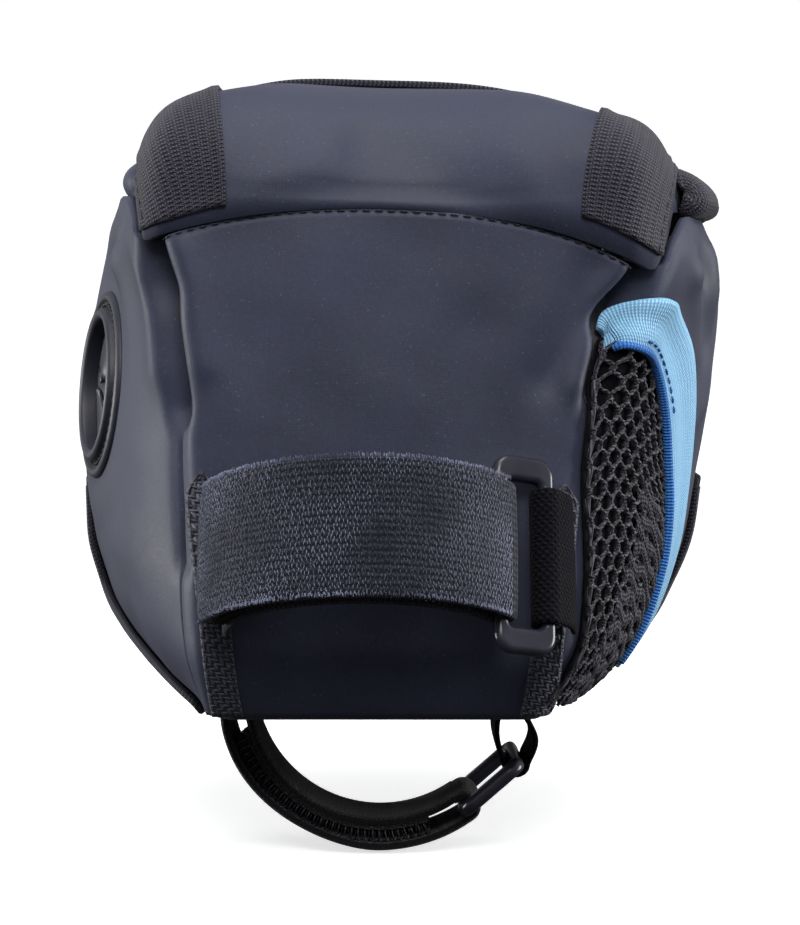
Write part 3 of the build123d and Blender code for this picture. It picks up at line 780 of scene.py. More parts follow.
def body_grid():
    """The body's outer surface, a closed ring of columns from the base up to the zipper."""
    x0, y0 = outline(np.full((RING, 1), SEAM_Z))
    top = seam_height(x0, y0) - SIDE_SETBACK * ease(60, 84, y0)
    top = top + HEM_RISE * ease(-88, -76, y0) * ease(84, 60, y0)
    share = np.linspace(0, 1, BODY_ROWS)[None, :]
    z = BASE_Z + (top - BASE_Z) * share
    x, y = outline(z)
    grid = np.stack([x, y, z], 2)
    middle = grid[:, BODY_ROWS * 2 // 3]
    along = lengths(middle)
    total = along[-1] + np.linalg.norm(middle[0] - middle[-1])
    along = along[:, None]
    behind_right = along - along[RIGHT_START]
    behind_left = np.where(along > total / 2, total - along, -along)
    rise = 0.55 * ripple(along + 0 * z, z, 3, 46) + 0.2 * ripple(along + 0 * z, z, 5, 17)
    rise *= ease(-2, 10, z - BASE_Z)
    for side, behind in (("left", behind_left), ("right", behind_right)):
        for line in SIDE_FOLDS[side]:
            rise += fold(behind, z, *line) * (np.abs(behind) < 200)
    hem = ease(top - 9, top, z) * ease(-88, -80, y)
    rise = rise * (1 - 0.95 * hem) - 0.7 * hem ** 2
    facing = ease(-88, -91, y)
    for line in FRONT_FOLDS:
        rise += facing * fold(x, z, *line)
    rise *= np.where(np.abs(x) < 24, 1 - 0.9 * ease(60, 88, y), 1)
    grid = grid + grid_normals(grid, True) * rise[..., None]
    grid[..., 2] -= 1.3 * ease(9, 1.5, z) * ease(-78, -89, y) * ease(38, 30, np.abs(x))
    return lean(port_seat(grid))


WINDOW_HALF = (27.0, 62.0)
WINDOW_Y = 3.0
CROWN_FALL = 5.0
CROWN_REACH = 43.5
LID_POWER = 2.05
CORNER_POWERS = (3.6, 5.0, 2.5, 2.5, 3.6)
CORNER_COLUMNS = 22.0
CROWN = ((-92.5, -72, -30, 15, 55, 92.5), (113.0, 119.3, 122.6, 123.4, 121.9, 113.0))


def window_ring():
    """Points round the window's edge, one for each column of the ring."""
    half_x, half_y = WINDOW_HALF
    x, y = np.empty(RING), np.empty(RING)
    x[FRONT_AT], y[FRONT_AT] = half_x * (2 * FRONT_F - 1), WINDOW_Y - half_y
    x[RIGHT_AT], y[RIGHT_AT] = half_x, WINDOW_Y + half_y * (2 * SIDE_T - 1)
    x[REAR_AT], y[REAR_AT] = half_x * (1 - 2 * REAR_F), WINDOW_Y + half_y
    x[LEFT_AT], y[LEFT_AT] = -half_x, WINDOW_Y + half_y * (1 - 2 * SIDE_T)
    return blur(x, 7, closed=True), blur(y, 7, closed=True)


def crown_height(x, y):
    """Height of the lid's top, which falls away to both sides."""
    return soft_table(CROWN, y, spread=14) - CROWN_FALL * (x / CROWN_REACH) ** 2


def lid_tuck(x, y):
    """How far the lid's foot stands in from the body's side, which overhangs it."""
    return np.where(x < 0, LID_TUCK["left"], LID_TUCK["right"]) * ease(30, 45, np.abs(x)) * ease(-90, -72, y)


def lid_grid():
    """The lid's outer surface, from the zipper up to the window's edge."""
    z0 = np.full((RING, 1), SEAM_Z)
    for _ in range(2):
        x0, y0 = outline(z0)
        z0 = seam_height(x0, y0) + SIDE_SETBACK * ease(-89, -80, y0)
    x0 = x0 - np.sign(x0) * lid_tuck(x0, y0)
    foot = np.stack([x0[:, 0], y0[:, 0], z0[:, 0]], 1)
    wx, wy = window_ring()
    head = np.stack([wx, wy, crown_height(wx, wy)], 1)
    column = np.arange(RING)
    power = np.full(RING, LID_POWER)
    for corner, value in zip((0, RIGHT_START, REAR_START, LEFT_START, RING), CORNER_POWERS):
        power += (value - LID_POWER) * np.exp(-(((column - corner) / CORNER_COLUMNS) ** 2))
    angle = np.linspace(0, math.pi / 2, LID_ROWS)[None, :]
    across = 1 - np.cos(angle) ** (2 / power[:, None])
    up = np.sin(angle) ** (2 / power[:, None])
    grid = np.empty((RING, LID_ROWS, 3))
    grid[..., :2] = foot[:, None, :2] + (head - foot)[:, None, :2] * across[..., None]
    grid[..., 2] = foot[:, None, 2] + (head - foot)[:, None, 2] * up
    along = lengths(foot)[:, None]
    height = np.cumsum(np.linalg.norm(np.diff(grid, axis=1, prepend=grid[:, :1]), axis=2), axis=1)
    rise = 0.35 * ripple(along + 0 * height, height, 11, 38)
    ahead = ease(-84, -90, foot[:, 1:2])
    piping = 0.75 * np.exp(-(((height - 0.9) / 1.1) ** 2))
    groove = 0.5 * np.exp(-(((height - 3.2) / 1.3) ** 2))
    rise += ahead * (piping - groove)
    front_x = foot[:, :1]
    for line in BROW_FOLDS:
        rise += ahead * fold(front_x + 0 * height, height, *line)
    rise *= np.where(np.abs(foot[:, :1]) < 24, 1 - 0.9 * ease(60, 88, foot[:, 1:2]), 1)
    grid = grid + grid_normals(grid, True) * rise[..., None]
    x, y, z = grid[..., 0], grid[..., 1], grid[..., 2]
    drop = np.where(x < 0, CORNER_DROP["left"], CORNER_DROP["right"])
    grid[..., 2] -= drop * ease(20, 42, np.abs(x)) * ease(-15, -62, y) * ease(100, 112, z)
    return lean(grid)


BODY = body_grid()
BODY_OUT = grid_normals(BODY, True)
LID = lid_grid()
LID_OUT = grid_normals(LID, True)
BAG = Surface((BODY, True), (LID, True))


def columns(first, last):
    """Ring columns from first to last, counted past the left front corner where needed."""
    return np.arange(first, last + 1) % RING


PANELS = {
    "front_panel": (-3, RIGHT_START + 3),
    "right_side_panel": (RIGHT_START + 3, REAR_START - 6),
    "rear_panel": (REAR_START - 6, LEFT_START + 6),
    "left_side_panel": (LEFT_START + 6, RING - 3),
}


def cut(obj, centre, axis, radius, depth):
    """Cuts a round hole through a piece."""
    ring = []
    side = unit(np.cross(axis, [0, 0, 1.0]))
    other = np.cross(axis, side)
    for k in range(48):
        a = 2 * math.pi * k / 48
        ring.append(centre + radius * (side * math.cos(a) + other * math.sin(a)))
    ring = np.array(ring)
    verts = np.concatenate([ring - axis * depth, ring + axis * depth])
    faces = [(k, (k + 1) % 48, 48 + (k + 1) % 48, 48 + k) for k in range(48)]
    faces += [list(range(48))[::-1], list(range(48, 96))]
    uvs = [(0, 0)] * (48 * 4 + 96)
    cutter = make_object("cutter", [(verts, faces, uvs)], obj.data.materials[0], smooth=False)
    hole = obj.modifiers.new("hole", "BOOLEAN")
    hole.operation = "DIFFERENCE"
    hole.solver = "EXACT"
    hole.object = cutter
    result = bpy.data.meshes.new_from_object(obj.evaluated_get(bpy.context.evaluated_depsgraph_get()))
    obj.modifiers.clear()
    obj.data = result
    bpy.data.objects.remove(cutter)


def body_panels():
    """Front, sides and rear, the padding behind them and the lining."""
    for node, (first, last) in PANELS.items():
        at = columns(first, last)
        panel = skin(node + "_cloth", BODY[at], SKIN, MATERIALS["grey"], lift=-SKIN, normals=BODY_OUT[at])
        attach(panel, "root", "coated_fabric", node)
        if node == "left_side_panel":
            cut(panel, PORT_CENTRE, PORT_AXIS, PORT_HOLE_R, PORT_CUT_DEPTH)
    calm = BODY.copy()
    calm[..., :2] = blur(calm[..., :2], 5, closed=True)
    inward = BODY_OUT.copy()
    rows = slice(3, BODY_ROWS - 4)
    padding = skin("wall_padding", (calm - inward * 4.6)[:, rows], 2.6, MATERIALS["foam"], closed=True,
                   normals=inward[:, rows])
    attach(padding, "root", "foam", "front_foam", "left_foam", "right_foam", "rear_foam")
    cut(padding, PORT_CENTRE, PORT_AXIS, PORT_HOLE_R, PORT_CUT_DEPTH)
    rows = slice(3, BODY_ROWS - 2)
    lining = skin("wall_lining", (calm - inward * 5.4)[:, rows], 0.6, MATERIALS["lining"], closed=True,
                  normals=inward[:, rows])
    attach(lining, "root", "lining", "body_lining")
    cut(lining, PORT_CENTRE, PORT_AXIS, PORT_HOLE_R, PORT_CUT_DEPTH)
    floor_grid("floor_lining", calm - inward * 5.0, 3, 0.6, "lining", "lining", 6.3)
    base = floor_grid("base_padding", calm - inward * 4.0, 2, 2.4, "foam", "foam", 3.4, "base_foam")
    floor_grid("base_cloth", BODY, 0, SKIN, "black", "black_fabric", None, "base_panel")


def floor_grid(name, walls, row, thickness, material, slot, height, *nodes):
    """A level sheet that spans between the left and right walls at one row of their grid."""
    right = walls[RIGHT_START:REAR_START, row]
    left = walls[columns(LEFT_START, RING - 1), row][::-1]
    ys = np.linspace(walls[:, row, 1].min() + 0.3, walls[:, row, 1].max() - 0.3, 120)
    right_x = np.interp(ys, right[:, 1], right[:, 0])
    left_x = np.interp(ys, left[:, 1], left[:, 0])
    share = np.linspace(0, 1, 30)[:, None]
    x = left_x + (right_x - left_x) * share
    y = ys + 0 * x
    level = walls[:, row, 2].mean() if height is None else height
    z = level + 0 * x
    grid = np.stack([x, y, z], 2)
    up = np.zeros_like(grid)
    up[..., 2] = 1
    sheet = skin(name, grid, thickness, MATERIALS[material], normals=up)
    return attach(sheet, "root", slot, *nodes)


def lid_panels():
    """The brow, which bends at the seam, and the cover behind it."""
    brow_at = columns(-12, RIGHT_START + 12)
    brow = skin("brow_cloth", LID[brow_at], SKIN, MATERIALS["grey"], lift=-SKIN, normals=LID_OUT[brow_at])
    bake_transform(brow)
    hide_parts("lid_brow")
    cover_at = columns(RIGHT_START + 12, RING - 12)
    cover = skin("lid_cover", LID[cover_at], SKIN, MATERIALS["grey"], lift=-SKIN, normals=LID_OUT[cover_at])
    attach(cover, "lid", "coated_fabric", "lid_skirt", "lid_top")


def brow_seam():
    """The dark thread line where the brow is sewn to the front panel."""
    at = columns(-1, RIGHT_START + 1)
    line = BODY[at, -1] + BODY_OUT[at, -1] * 0.1
    line[:, 2] -= 0.35
    row = stitches("brow_seam_thread", line, BODY_OUT[at, -1], MATERIALS["thread"],
                   pitch=2.3, length=1.5, radius=0.15, lift=0.12)
    attach(row, "root", "coated_fabric")


body_panels()
lid_panels()
brow_seam()

# ---------------------------------------------------------------- trim on the lid

TAPE_INNER = {"left": (-34.0, -31.6), "right": (38.2, 33.0)}
TAPE_LOW = {"left": (180.5, 189.0), "right": (184.0, 199.0)}
TAPE_TURN_Y = -60.0
TAPE_TURN_Z = 95.0


def edge_tape(side):
    """Wide woven tape along one edge of the lid, then down its front corner."""
    sign = -1 if side == "left" else 1
    top_x, foot_x = TAPE_INNER[side]
    across = np.linspace(0, 1, 22)
    run_y = np.linspace(84, TAPE_TURN_Y, 80)
    rays, aims = [], []
    for y in run_y:
        start = (SEAM_Z + (y - FRONT_Y) * SEAM_CLIMB)
        away = np.radians(90 - 66 * across)
        aims.append(np.stack([sign * np.cos(away), 0 * away, np.sin(away)], 1))
        rays.append(np.tile([sign * 34.0 + (top_x - sign * 34.0) * ease(20, -60, y), y, start], (22, 1)))
    low_inner, low_outer = TAPE_LOW[side]
    for share in np.linspace(0, 1, 60)[1:]:
        turn = np.radians(90 + (low_inner - 90 + (low_outer - low_inner) * across ** 1.3) * share)
        away = np.radians(90 - (66 - 38 * share) * across)
        down = np.stack([0 * turn, np.cos(turn), np.sin(turn)], 1)
        aims.append(down * np.sin(away)[:, None] + np.cos(away)[:, None] * np.array([sign, 0, 0]))
        x = top_x + (foot_x - top_x) * ease(0.35, 1.0, share)
        rays.append(np.tile([x, TAPE_TURN_Y, TAPE_TURN_Z], (22, 1)))
    points, normals = BAG.cast(np.array(rays), np.array(aims))
    points = blur(blur(points, 1.5), 0.8, axis=1)
    normals = unit(blur(blur(normals, 3.0), 1.5, axis=1))
    thick = 0.85 + 0.35 * (np.exp(-((across - 0.04) / 0.05) ** 2) + np.exp(-((across - 0.96) / 0.05) ** 2))
    thick = thick + 0.3 * np.exp(-((across - 0.82) / 0.03) ** 2)
    if side == "left":
        points, normals = points[::-1], normals[::-1]
    tape = skin("edge_tape_" + side, points, thick[None, :], MATERIALS["tape"], lift=0.1, normals=normals)
    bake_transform(tape)
    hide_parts("lid_edge_tape_" + side)
    for share, label in ((0.06, "inner"), (0.9, "outer")):
        k = int(round(share * 21))
        row = stitches(f"edge_tape_{side}_thread_{label}", points[:, k] + normals[:, k] * 1.0, normals[:, k],
                       MATERIALS["thread"], pitch=3.0, length=2.3, radius=0.16)
        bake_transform(row)


GUARD_SPAN = {"left": (-66.0, 83.0), "right": (-71.0, 83.0)}
GUARD_SHAPE = {
    "left": [(-2.5, 8.4), (-0.4, 8.0), (1.6, 6.6), (2.4, 4.8), (1.9, 3.0), (0.4, 1.6), (-1.6, 1.2)],
    "right": [(-1.5, 10.8), (1.9, 10.0), (4.6, 8.0), (5.7, 5.6), (5.0, 3.5), (2.8, 2.4), (0.2, 2.3)],
}


def zipper_guard(side):
    """Rolled flap over one side of the zipper, fuller at its front end."""
    sign = -1 if side == "left" else 1
    low, high = GUARD_SPAN[side]
    ys = np.linspace(low, high, 110)
    shape = smooth_path(GUARD_SHAPE[side], 20)
    middle = shape.mean(0) - (1.2, 0)
    grid = np.empty((len(ys), len(shape), 3))
    for i, y in enumerate(ys):
        level = SEAM_Z + (y - FRONT_Y) * SEAM_CLIMB
        hw = half_width(side, (y - FRONT_Y) / LENGTH, np.array(level + 2.0))
        hw = hw - lid_tuck(np.array(sign * hw), y)
        close = max(0.0, 1 - (y - low) / 3.4)
        size = 0.06 + 0.94 * math.sqrt(1 - close ** 2) * (1 + 0.22 * math.exp(-((y - low - 6) / 7.0) ** 2))
        wobble = 0.25 * math.sin(y * 0.31) + 0.2 * math.sin(y * 0.13 + 1)
        out, up = (middle + (shape - middle) * size).T
        out = out + wobble * (shape[:, 0] > 1)
        grid[i] = np.stack([sign * (hw + out), np.full(len(shape), y), level + up], 1)
    grid = lean(grid)
    if side == "right":
        grid = grid[:, ::-1]
    material, slot = ("grey", "coated_fabric") if side == "left" else ("tape", "woven_tape")
    roll = skin("guard_roll_" + side, grid, 1.0, MATERIALS[material], lift=-1.0)
    return attach(roll, "lid", slot, "zipper_guard_" + side)


def on_lid(x, y):
    """Point and normal on top of the lid at (x, y)."""
    return BAG.hit((x, y, 160), (0, 0, -1))


def rounded_rectangle(half_x, half_y, radius, count):
    """Points round a rectangle with rounded corners, counter-clockwise from the right."""
    points = []
    for cx, cy, start in ((half_x - radius, half_y - radius, 0), (radius - half_x, half_y - radius, 90),
                          (radius - half_x, radius - half_y, 180), (half_x - radius, radius - half_y, 270)):
        for k in range(13):
            a = math.radians(start + 90 * k / 12)
            points.append((cx + radius * math.cos(a), cy + radius * math.sin(a)))
    points.append(points[0])
    return even(np.array(points), count + 1)[:-1]


def window():
    """Clear film over the phone and the woven border that is sewn round it."""
    count = 260
    outer = rounded_rectangle(WINDOW_HALF[0] + 6.0, WINDOW_HALF[1] + 6.0, 14.0, count)
    inner = rounded_rectangle(WINDOW_HALF[0] - 1.5, WINDOW_HALF[1] - 1.5, 7.0, count)
    share = np.linspace(0, 1, 9)[None, :, None]
    flat = outer[:, None] + (inner - outer)[:, None] * share
    flat[..., 1] += WINDOW_Y
    grid = np.empty((count, 9, 3))
    grid[..., :2] = flat
    for i in range(count):
        for j in range(9):
            x, y = flat[i, j]
            inside = np.clip(x, -WINDOW_HALF[0] + 0.8, WINDOW_HALF[0] - 0.8), np.clip(
                y, WINDOW_Y - WINDOW_HALF[1] + 0.8, WINDOW_Y + WINDOW_HALF[1] - 0.8)
            edge = lean(np.array([x, y, crown_height(x, y)]))[2]
            if (x, y) == inside:
                grid[i, j, 2] = edge + 0.1
            else:
                grid[i, j, 2] = on_lid(x, y)[0][2]
    grid[..., 2] = blur(grid[..., 2], 3, closed=True)
    up = unit(blur(grid_normals(grid, True), 3, closed=True))
    if up[..., 2].mean() < 0:
        up = -up
    ridge = 1.0 + 0.35 * np.array([1, 0.6, 0, 0, 0, 0, 0, 0.6, 1])[None, :]
    border = skin("window_border", grid, ridge, MATERIALS["tape"], closed=True, lift=0.15, normals=up)
    attach(border, "lid", "woven_tape", "lid_window_border")
    for k, label in ((1, "outer"), (6, "inner")):
        path = np.vstack([grid[:, k], grid[:1, k]]) + np.vstack([up[:, k], up[:1, k]]) * 1.25
        row = stitches("window_thread_" + label, path, np.vstack([up[:, k], up[:1, k]]), MATERIALS["thread"],
                       pitch=3.0, length=2.3, radius=0.16)
        attach(row, "lid", "woven_tape")
    xs = np.linspace(-WINDOW_HALF[0] - 2, WINDOW_HALF[0] + 2, 40)
    ys = np.linspace(WINDOW_Y - WINDOW_HALF[1] - 2, WINDOW_Y + WINDOW_HALF[1] + 2, 90)
    film = np.array([[(x, y, crown_height(x, y) - 1.7) for y in ys] for x in xs])
    film = lean(film)
    film[..., 2] -= 0.5 * np.exp(-((film[..., 1] + 10) / 28) ** 2) * (1 - (film[..., 0] / 29) ** 2)
    sheet = skin("window_sheet", film, 0.5, MATERIALS["window"])
    attach(sheet, "lid", "window_film", "lid_window")


# ---------------------------------------------------------------- zipper

ZIP_START = RIGHT_START + 34
ZIP_END = RING - 34


def zip_line(level, inset):
    """Points along the zipper at a height above the seam and a depth under the skin."""
    at = np.arange(ZIP_START, ZIP_END + 1)
    z = np.full((RING, 1), SEAM_Z)
    for _ in range(2):
        x, y = outline(z)
        z = seam_height(x, y) + level
    if level > 0:
        x = x - np.sign(x) * lid_tuck(x, y) * float(ease(1, 5, level))
    line = np.stack([x[:, 0], y[:, 0], z[:, 0]], 1)
    tangent = unit(np.roll(line, -1, 0) - np.roll(line, 1, 0))
    outward = unit(np.stack([tangent[:, 1], -tangent[:, 0], 0 * tangent[:, 0]], 1))
    line = line - outward * inset
    return lean(line)[at], outward[at]


def zip_half(name, body, low, high, bead, tape_node, teeth_node):
    """One half of the zipper: its tape, the cord in its edge and a row of teeth."""
    levels = np.linspace(low, high, 8)
    grid = np.stack([zip_line(level, 2.6 + 0.03 * abs(level - bead) ** 2)[0] for level in levels], 1)
    tape = skin(name + "_tape", grid, 0.8, MATERIALS["zip"], lift=-0.4)
    attach(tape, body, "zip_tape", tape_node)
    line, outward = zip_line(bead, 2.1)
    along = lengths(line)
    runs = []
    sign = 1 if bead > 0 else -1
    offset = 0.0 if bead > 0 else 0.75
    for s in np.arange(0.5 + offset, along[-1] - 0.5, 1.5):
        p = look_along(line, along, s)
        o = unit(look_along(outward, along, s))
        up = np.array([0, 0, sign * 1.0])
        runs.append(np.array([p + up * 0.9 - o * 0.4, p + up * 0.9 + o * 0.6, p + o * 0.9,
                              p - up * 0.7 + o * 0.45, p - up * 0.9 - o * 0.2]))
    teeth = make_object(name + "_teeth", [tubes(runs, 0.45, sides=6, taper=0.8)], MATERIALS["teeth"])
    attach(teeth, body, "zip_teeth", teeth_node)


def pull(side):
    """Folded webbing pull on the slider's bail, with a bar tack across it."""
    node = "zipper_pull_" + side
    low, high = node_low(node), node_high(node)
    centre = (low + high) / 2
    bail_z = high[2] - 1.4
    half = 0.75
    path = [(centre[0], centre[1] + half, low[2] + 1.0), (centre[0], centre[1] + half, bail_z - 5)]
    path += [(centre[0], centre[1] + half * 1.2, bail_z - 2)]
    for k in range(9):
        a = math.radians(180 * k / 8)
        path.append((centre[0], centre[1] + 1.15 * math.cos(a), bail_z + 1.15 * math.sin(a)))
    path += [(centre[0], centre[1] - half * 1.2, bail_z - 2)]
    path += [(centre[0], centre[1] - half, bail_z - 5), (centre[0], centre[1] - half, low[2] + 1.0)]
    path = even(np.array(path), 70)
    along = lengths(path)
    narrow = np.exp(-((along - along[-1] / 2) / 6.0) ** 2)
    widths = 8.6 - 5.2 * narrow
    profiles = np.array([flat_profile(w, 0.9) for w in widths])
    webbing_parts = [sweep(path, np.array([1.0, 0, 0]), profiles)]
    strip = make_object("pull_strip_" + side, webbing_parts, MATERIALS["tape"])
    attach(strip, side + "_pull", "pull_webbing", node)
    for k, z in enumerate((low[2] + 3, low[2] + 16)):
        runs = []
        for face in (-1, 1):
            y = centre[1] + face * (half + 0.55)
            for x in np.arange(-3.4, 3.41, 0.45):
                near, far = centre[0] + x, centre[0] + x + 0.2
                under = y - face * 0.3
                runs.append(np.array([(near, under, z - 0.9), (near, y, z - 0.6),
                                      (far, y, z + 0.6), (far, under, z + 0.9)]))
        tack = make_object(f"pull_tack_{side}_{k + 1}", [tubes(runs, 0.16)], MATERIALS["thread"])
        attach(tack, side + "_pull", "pull_webbing")


for SIDE in ("left", "right"):
    edge_tape(SIDE)
    zipper_guard(SIDE)
    pull(SIDE)
window()
zip_half("zip_lower", "root", -8.5, -1.0, -0.9, "zipper_tape_lower", "zipper_teeth_lower")
zip_half("zip_upper", "lid", 1.0, 8.5, 0.9, "zipper_tape_upper", "zipper_teeth_upper")

# ---------------------------------------------------------------- cable port


def lathe(shape, centre, axis, count=120):
    """A closed outline of (radius, height) turned round an axis, as (verts, faces, uvs)."""
    side = unit(np.cross(axis, [0, 0, 1.0]))
    other = np.cross(side, axis)
    turn = 2 * math.pi * np.arange(count) / count
    spoke = side * np.cos(turn)[:, None] + other * np.sin(turn)[:, None]
    verts = centre + spoke[:, None] * shape[None, :, :1] + axis * shape[None, :, 1:]
    m = len(shape)
    around = lengths(np.vstack([shape, shape[:1]]))
    faces, uvs = [], []
    reach = shape[:, 0].max()
    for i in range(count):
        k = (i + 1) % count
        for j in range(m):
            l = (j + 1) % m
            faces.append((i * m + j, i * m + l, k * m + l, k * m + j))
            a, b = turn[i] * reach, (turn[i] + 2 * math.pi / count) * reach
            uvs += [(a, around[j]), (a, around[j + 1]), (b, around[j + 1]), (b, around[j])]
    return verts.reshape(-1, 3), faces, uvs


PORT_OUTLINE = [
    (13.0, -6.0), (13.0, -2.0), (13.1, 2.6), (13.4, 3.7), (14.0, 4.2), (14.7, 4.1), (15.2, 3.3), (15.35, 2.2),
    (15.6, 1.4), (16.1, 1.1), (16.6, 1.3), (16.9, 2.0), (17.4, 2.4), (18.1, 2.2), (18.6, 1.4), (18.7, 0.4),
    (18.2, -0.4), (15.0, -0.5), (14.6, -1.4), (14.6, -4.6), (15.2, -5.0), (17.3, -5.1), (17.5, -5.6),
    (17.2, -6.1), (14.5, -6.3),
]
FLAP_COUNT = 6
BORE_R = 13.2


def cable_port():
    """Rubber grommet with two raised rings, a stitched channel between them and a star of flaps."""
    shape = np.array(PORT_OUTLINE) * (1.0, 0.6) - (0, 0.3)
    shape = smooth_path(np.vstack([shape, shape[:1]]), 110)[:-1]
    ring = make_object("port_grommet", [lathe(shape, PORT_CENTRE, PORT_AXIS)], MATERIALS["rubber"])
    attach(ring, "root", "port_rubber", "cable_port")
    side = unit(np.cross(PORT_AXIS, [0, 0, 1.0]))
    other = np.cross(side, PORT_AXIS)
    turn = np.linspace(0, 2 * math.pi, 361)
    spoke = side * np.cos(turn)[:, None] + other * np.sin(turn)[:, None]
    circle = PORT_CENTRE + spoke * 16.0 + PORT_AXIS * 0.5
    row = stitches("port_thread", circle, PORT_AXIS, MATERIALS["thread"],
                   pitch=2.0, length=1.5, radius=0.26, lift=0.3)
    attach(row, "root", "port_rubber")
    rng = np.random.default_rng(21)
    parts = []
    for k in range(FLAP_COUNT):
        start = 2 * math.pi * k / FLAP_COUNT + 0.35
        bend = rng.uniform(-1.2, 2.6)
        curl = rng.uniform(-0.8, 0.8)
        radii = np.linspace(BORE_R, 0.7, 16)
        grid = np.empty((16, 14, 3))
        for i, r in enumerate(radii):
            gap = 0.25 / r
            angles = np.linspace(start + gap, start + 2 * math.pi / FLAP_COUNT - gap, 14)
            inwards = 1 - r / BORE_R
            rise = -1.4 + bend * inwards ** 1.6 + curl * inwards * np.linspace(-1, 1, 14)
            spoke = side * np.cos(angles)[:, None] + other * np.sin(angles)[:, None]
            grid[i] = PORT_CENTRE + spoke * r + PORT_AXIS * rise[:, None]
        n = grid_normals(grid)
        n *= np.sign((n * PORT_AXIS).sum(2).mean())
        outer, inner = grid + n * 0.4, grid - n * 0.4
        if (np.cross(grid[1, 0] - grid[0, 0], grid[0, 1] - grid[0, 0]) @ PORT_AXIS) < 0:
            outer, inner = outer[::-1], inner[::-1]
        parts.append(shell(outer, inner))
    flaps = make_object("port_star_flaps", parts, MATERIALS["rubber"])
    attach(flaps, "root", "port_rubber", "cable_port_flaps")


# ---------------------------------------------------------------- mesh pocket

POCKET_RIM = [(-89.6, 71.5), (-88.4, 75.4), (-85, 78.9), (-79.5, 79.0), (-72, 75), (-65, 68.5), (-60.5, 60.5),
              (-58.5, 52), (-57.5, 43), (-57.5, 34), (-58.5, 25), (-60.5, 17), (-63, 11.5)]
POCKET_HEM = [(-89.6, 69.2), (-87, 70.2), (-82.5, 69.6), (-78, 66.5), (-73.5, 60.5), (-70, 53.5), (-67.8, 46),
              (-66.5, 38.5), (-65.8, 31), (-65.4, 24), (-65, 18), (-64.8, 13.5), (-64.4, 10.5)]
POCKET_FLOOR = 4.2
SEWN_PART = slice(14, 62)


def on_right(y, z, out):
    """Point and normal a little way outside the right side of the bag."""
    aim = unit([-1.0, 1.2 * float(ease(-70, -92, y)), 0])
    start = np.array([90.0, y, z])
    if y <= -70:
        share = max(0.0, (y - FRONT_Y) / LENGTH)
        start = np.array([half_width("right", share, np.array(float(z))), y, z]) - aim * 30
    place, normal = BAG.hit(start, aim)
    return place + normal * out, normal


def pocket_surface(points, out):
    """Points (y, z) drawn on the right side, laid a distance out from the bag along its normals, with those
    normals.
    """
    grid = np.empty(points.shape[:-1] + (3,))
    normals = np.empty_like(grid)
    for index in np.ndindex(points.shape[:-1]):
        grid[index], normals[index] = on_right(*points[index], out)
    return grid, normals


def pocket_bulge(y, z):
    """How far the stretched mesh stands away from the side of the bag."""
    return 1.3 + 0.9 * ease(-92, -82, y) * ease(-52, -66, y) * ease(0, 25, z) * ease(80, 55, z)


POCKET_U, POCKET_V = 90, 80
RIM = smooth_path(POCKET_RIM, 160)
HEM = smooth_path(POCKET_HEM, 160)


def pocket_map():
    """The side of the bag under the mesh: its points, its normals and how far the mesh stands off."""
    ys = np.linspace(RIM[0, 0] - 0.6, HEM[-1, 0] + 1.5, POCKET_U)
    middle = 0.25 * RIM + 0.75 * HEM
    middle = middle[:np.argmax(middle[:, 0]) + 1]
    top = np.interp(ys, middle[:, 0], middle[:, 1])
    flat = np.empty((POCKET_U, POCKET_V, 2))
    for i in range(POCKET_U):
        flat[i, :, 0] = ys[i]
        flat[i, :, 1] = np.linspace(POCKET_FLOOR, max(top[i], POCKET_FLOOR + 1), POCKET_V)
    grid, normals = pocket_surface(flat, 0.0)
    normals = unit(blur(blur(normals, 4), 4, axis=1))
    grid = blur(blur(grid, 2), 2, axis=1)
    bulge = pocket_bulge(flat[..., 0], flat[..., 1])
    return grid, normals, bulge


def sampler(grid):
    """Bilinear look-up of a grid at shares between 0 and 1."""
    nu, nv = grid.shape[:2]

    def look(a, b):
        a = np.clip(a, 0, 1) * (nu - 1)
        b = np.clip(b, 0, 1) * (nv - 1)
        i, j = np.minimum(a.astype(int), nu - 2), np.minimum(b.astype(int), nv - 2)
        s, t = (a - i)[..., None], (b - j)[..., None]
        return (grid[i, j] * (1 - s) * (1 - t) + grid[i + 1, j] * s * (1 - t)
                + grid[i, j + 1] * (1 - s) * t + grid[i + 1, j + 1] * s * t)
    return look


MESH_PITCH = 2.8
MESH_HALF = 1.45
YARN_LEAN = 1.35
NET_YARN_R = 0.27
GATHER_YARN_R = 0.24


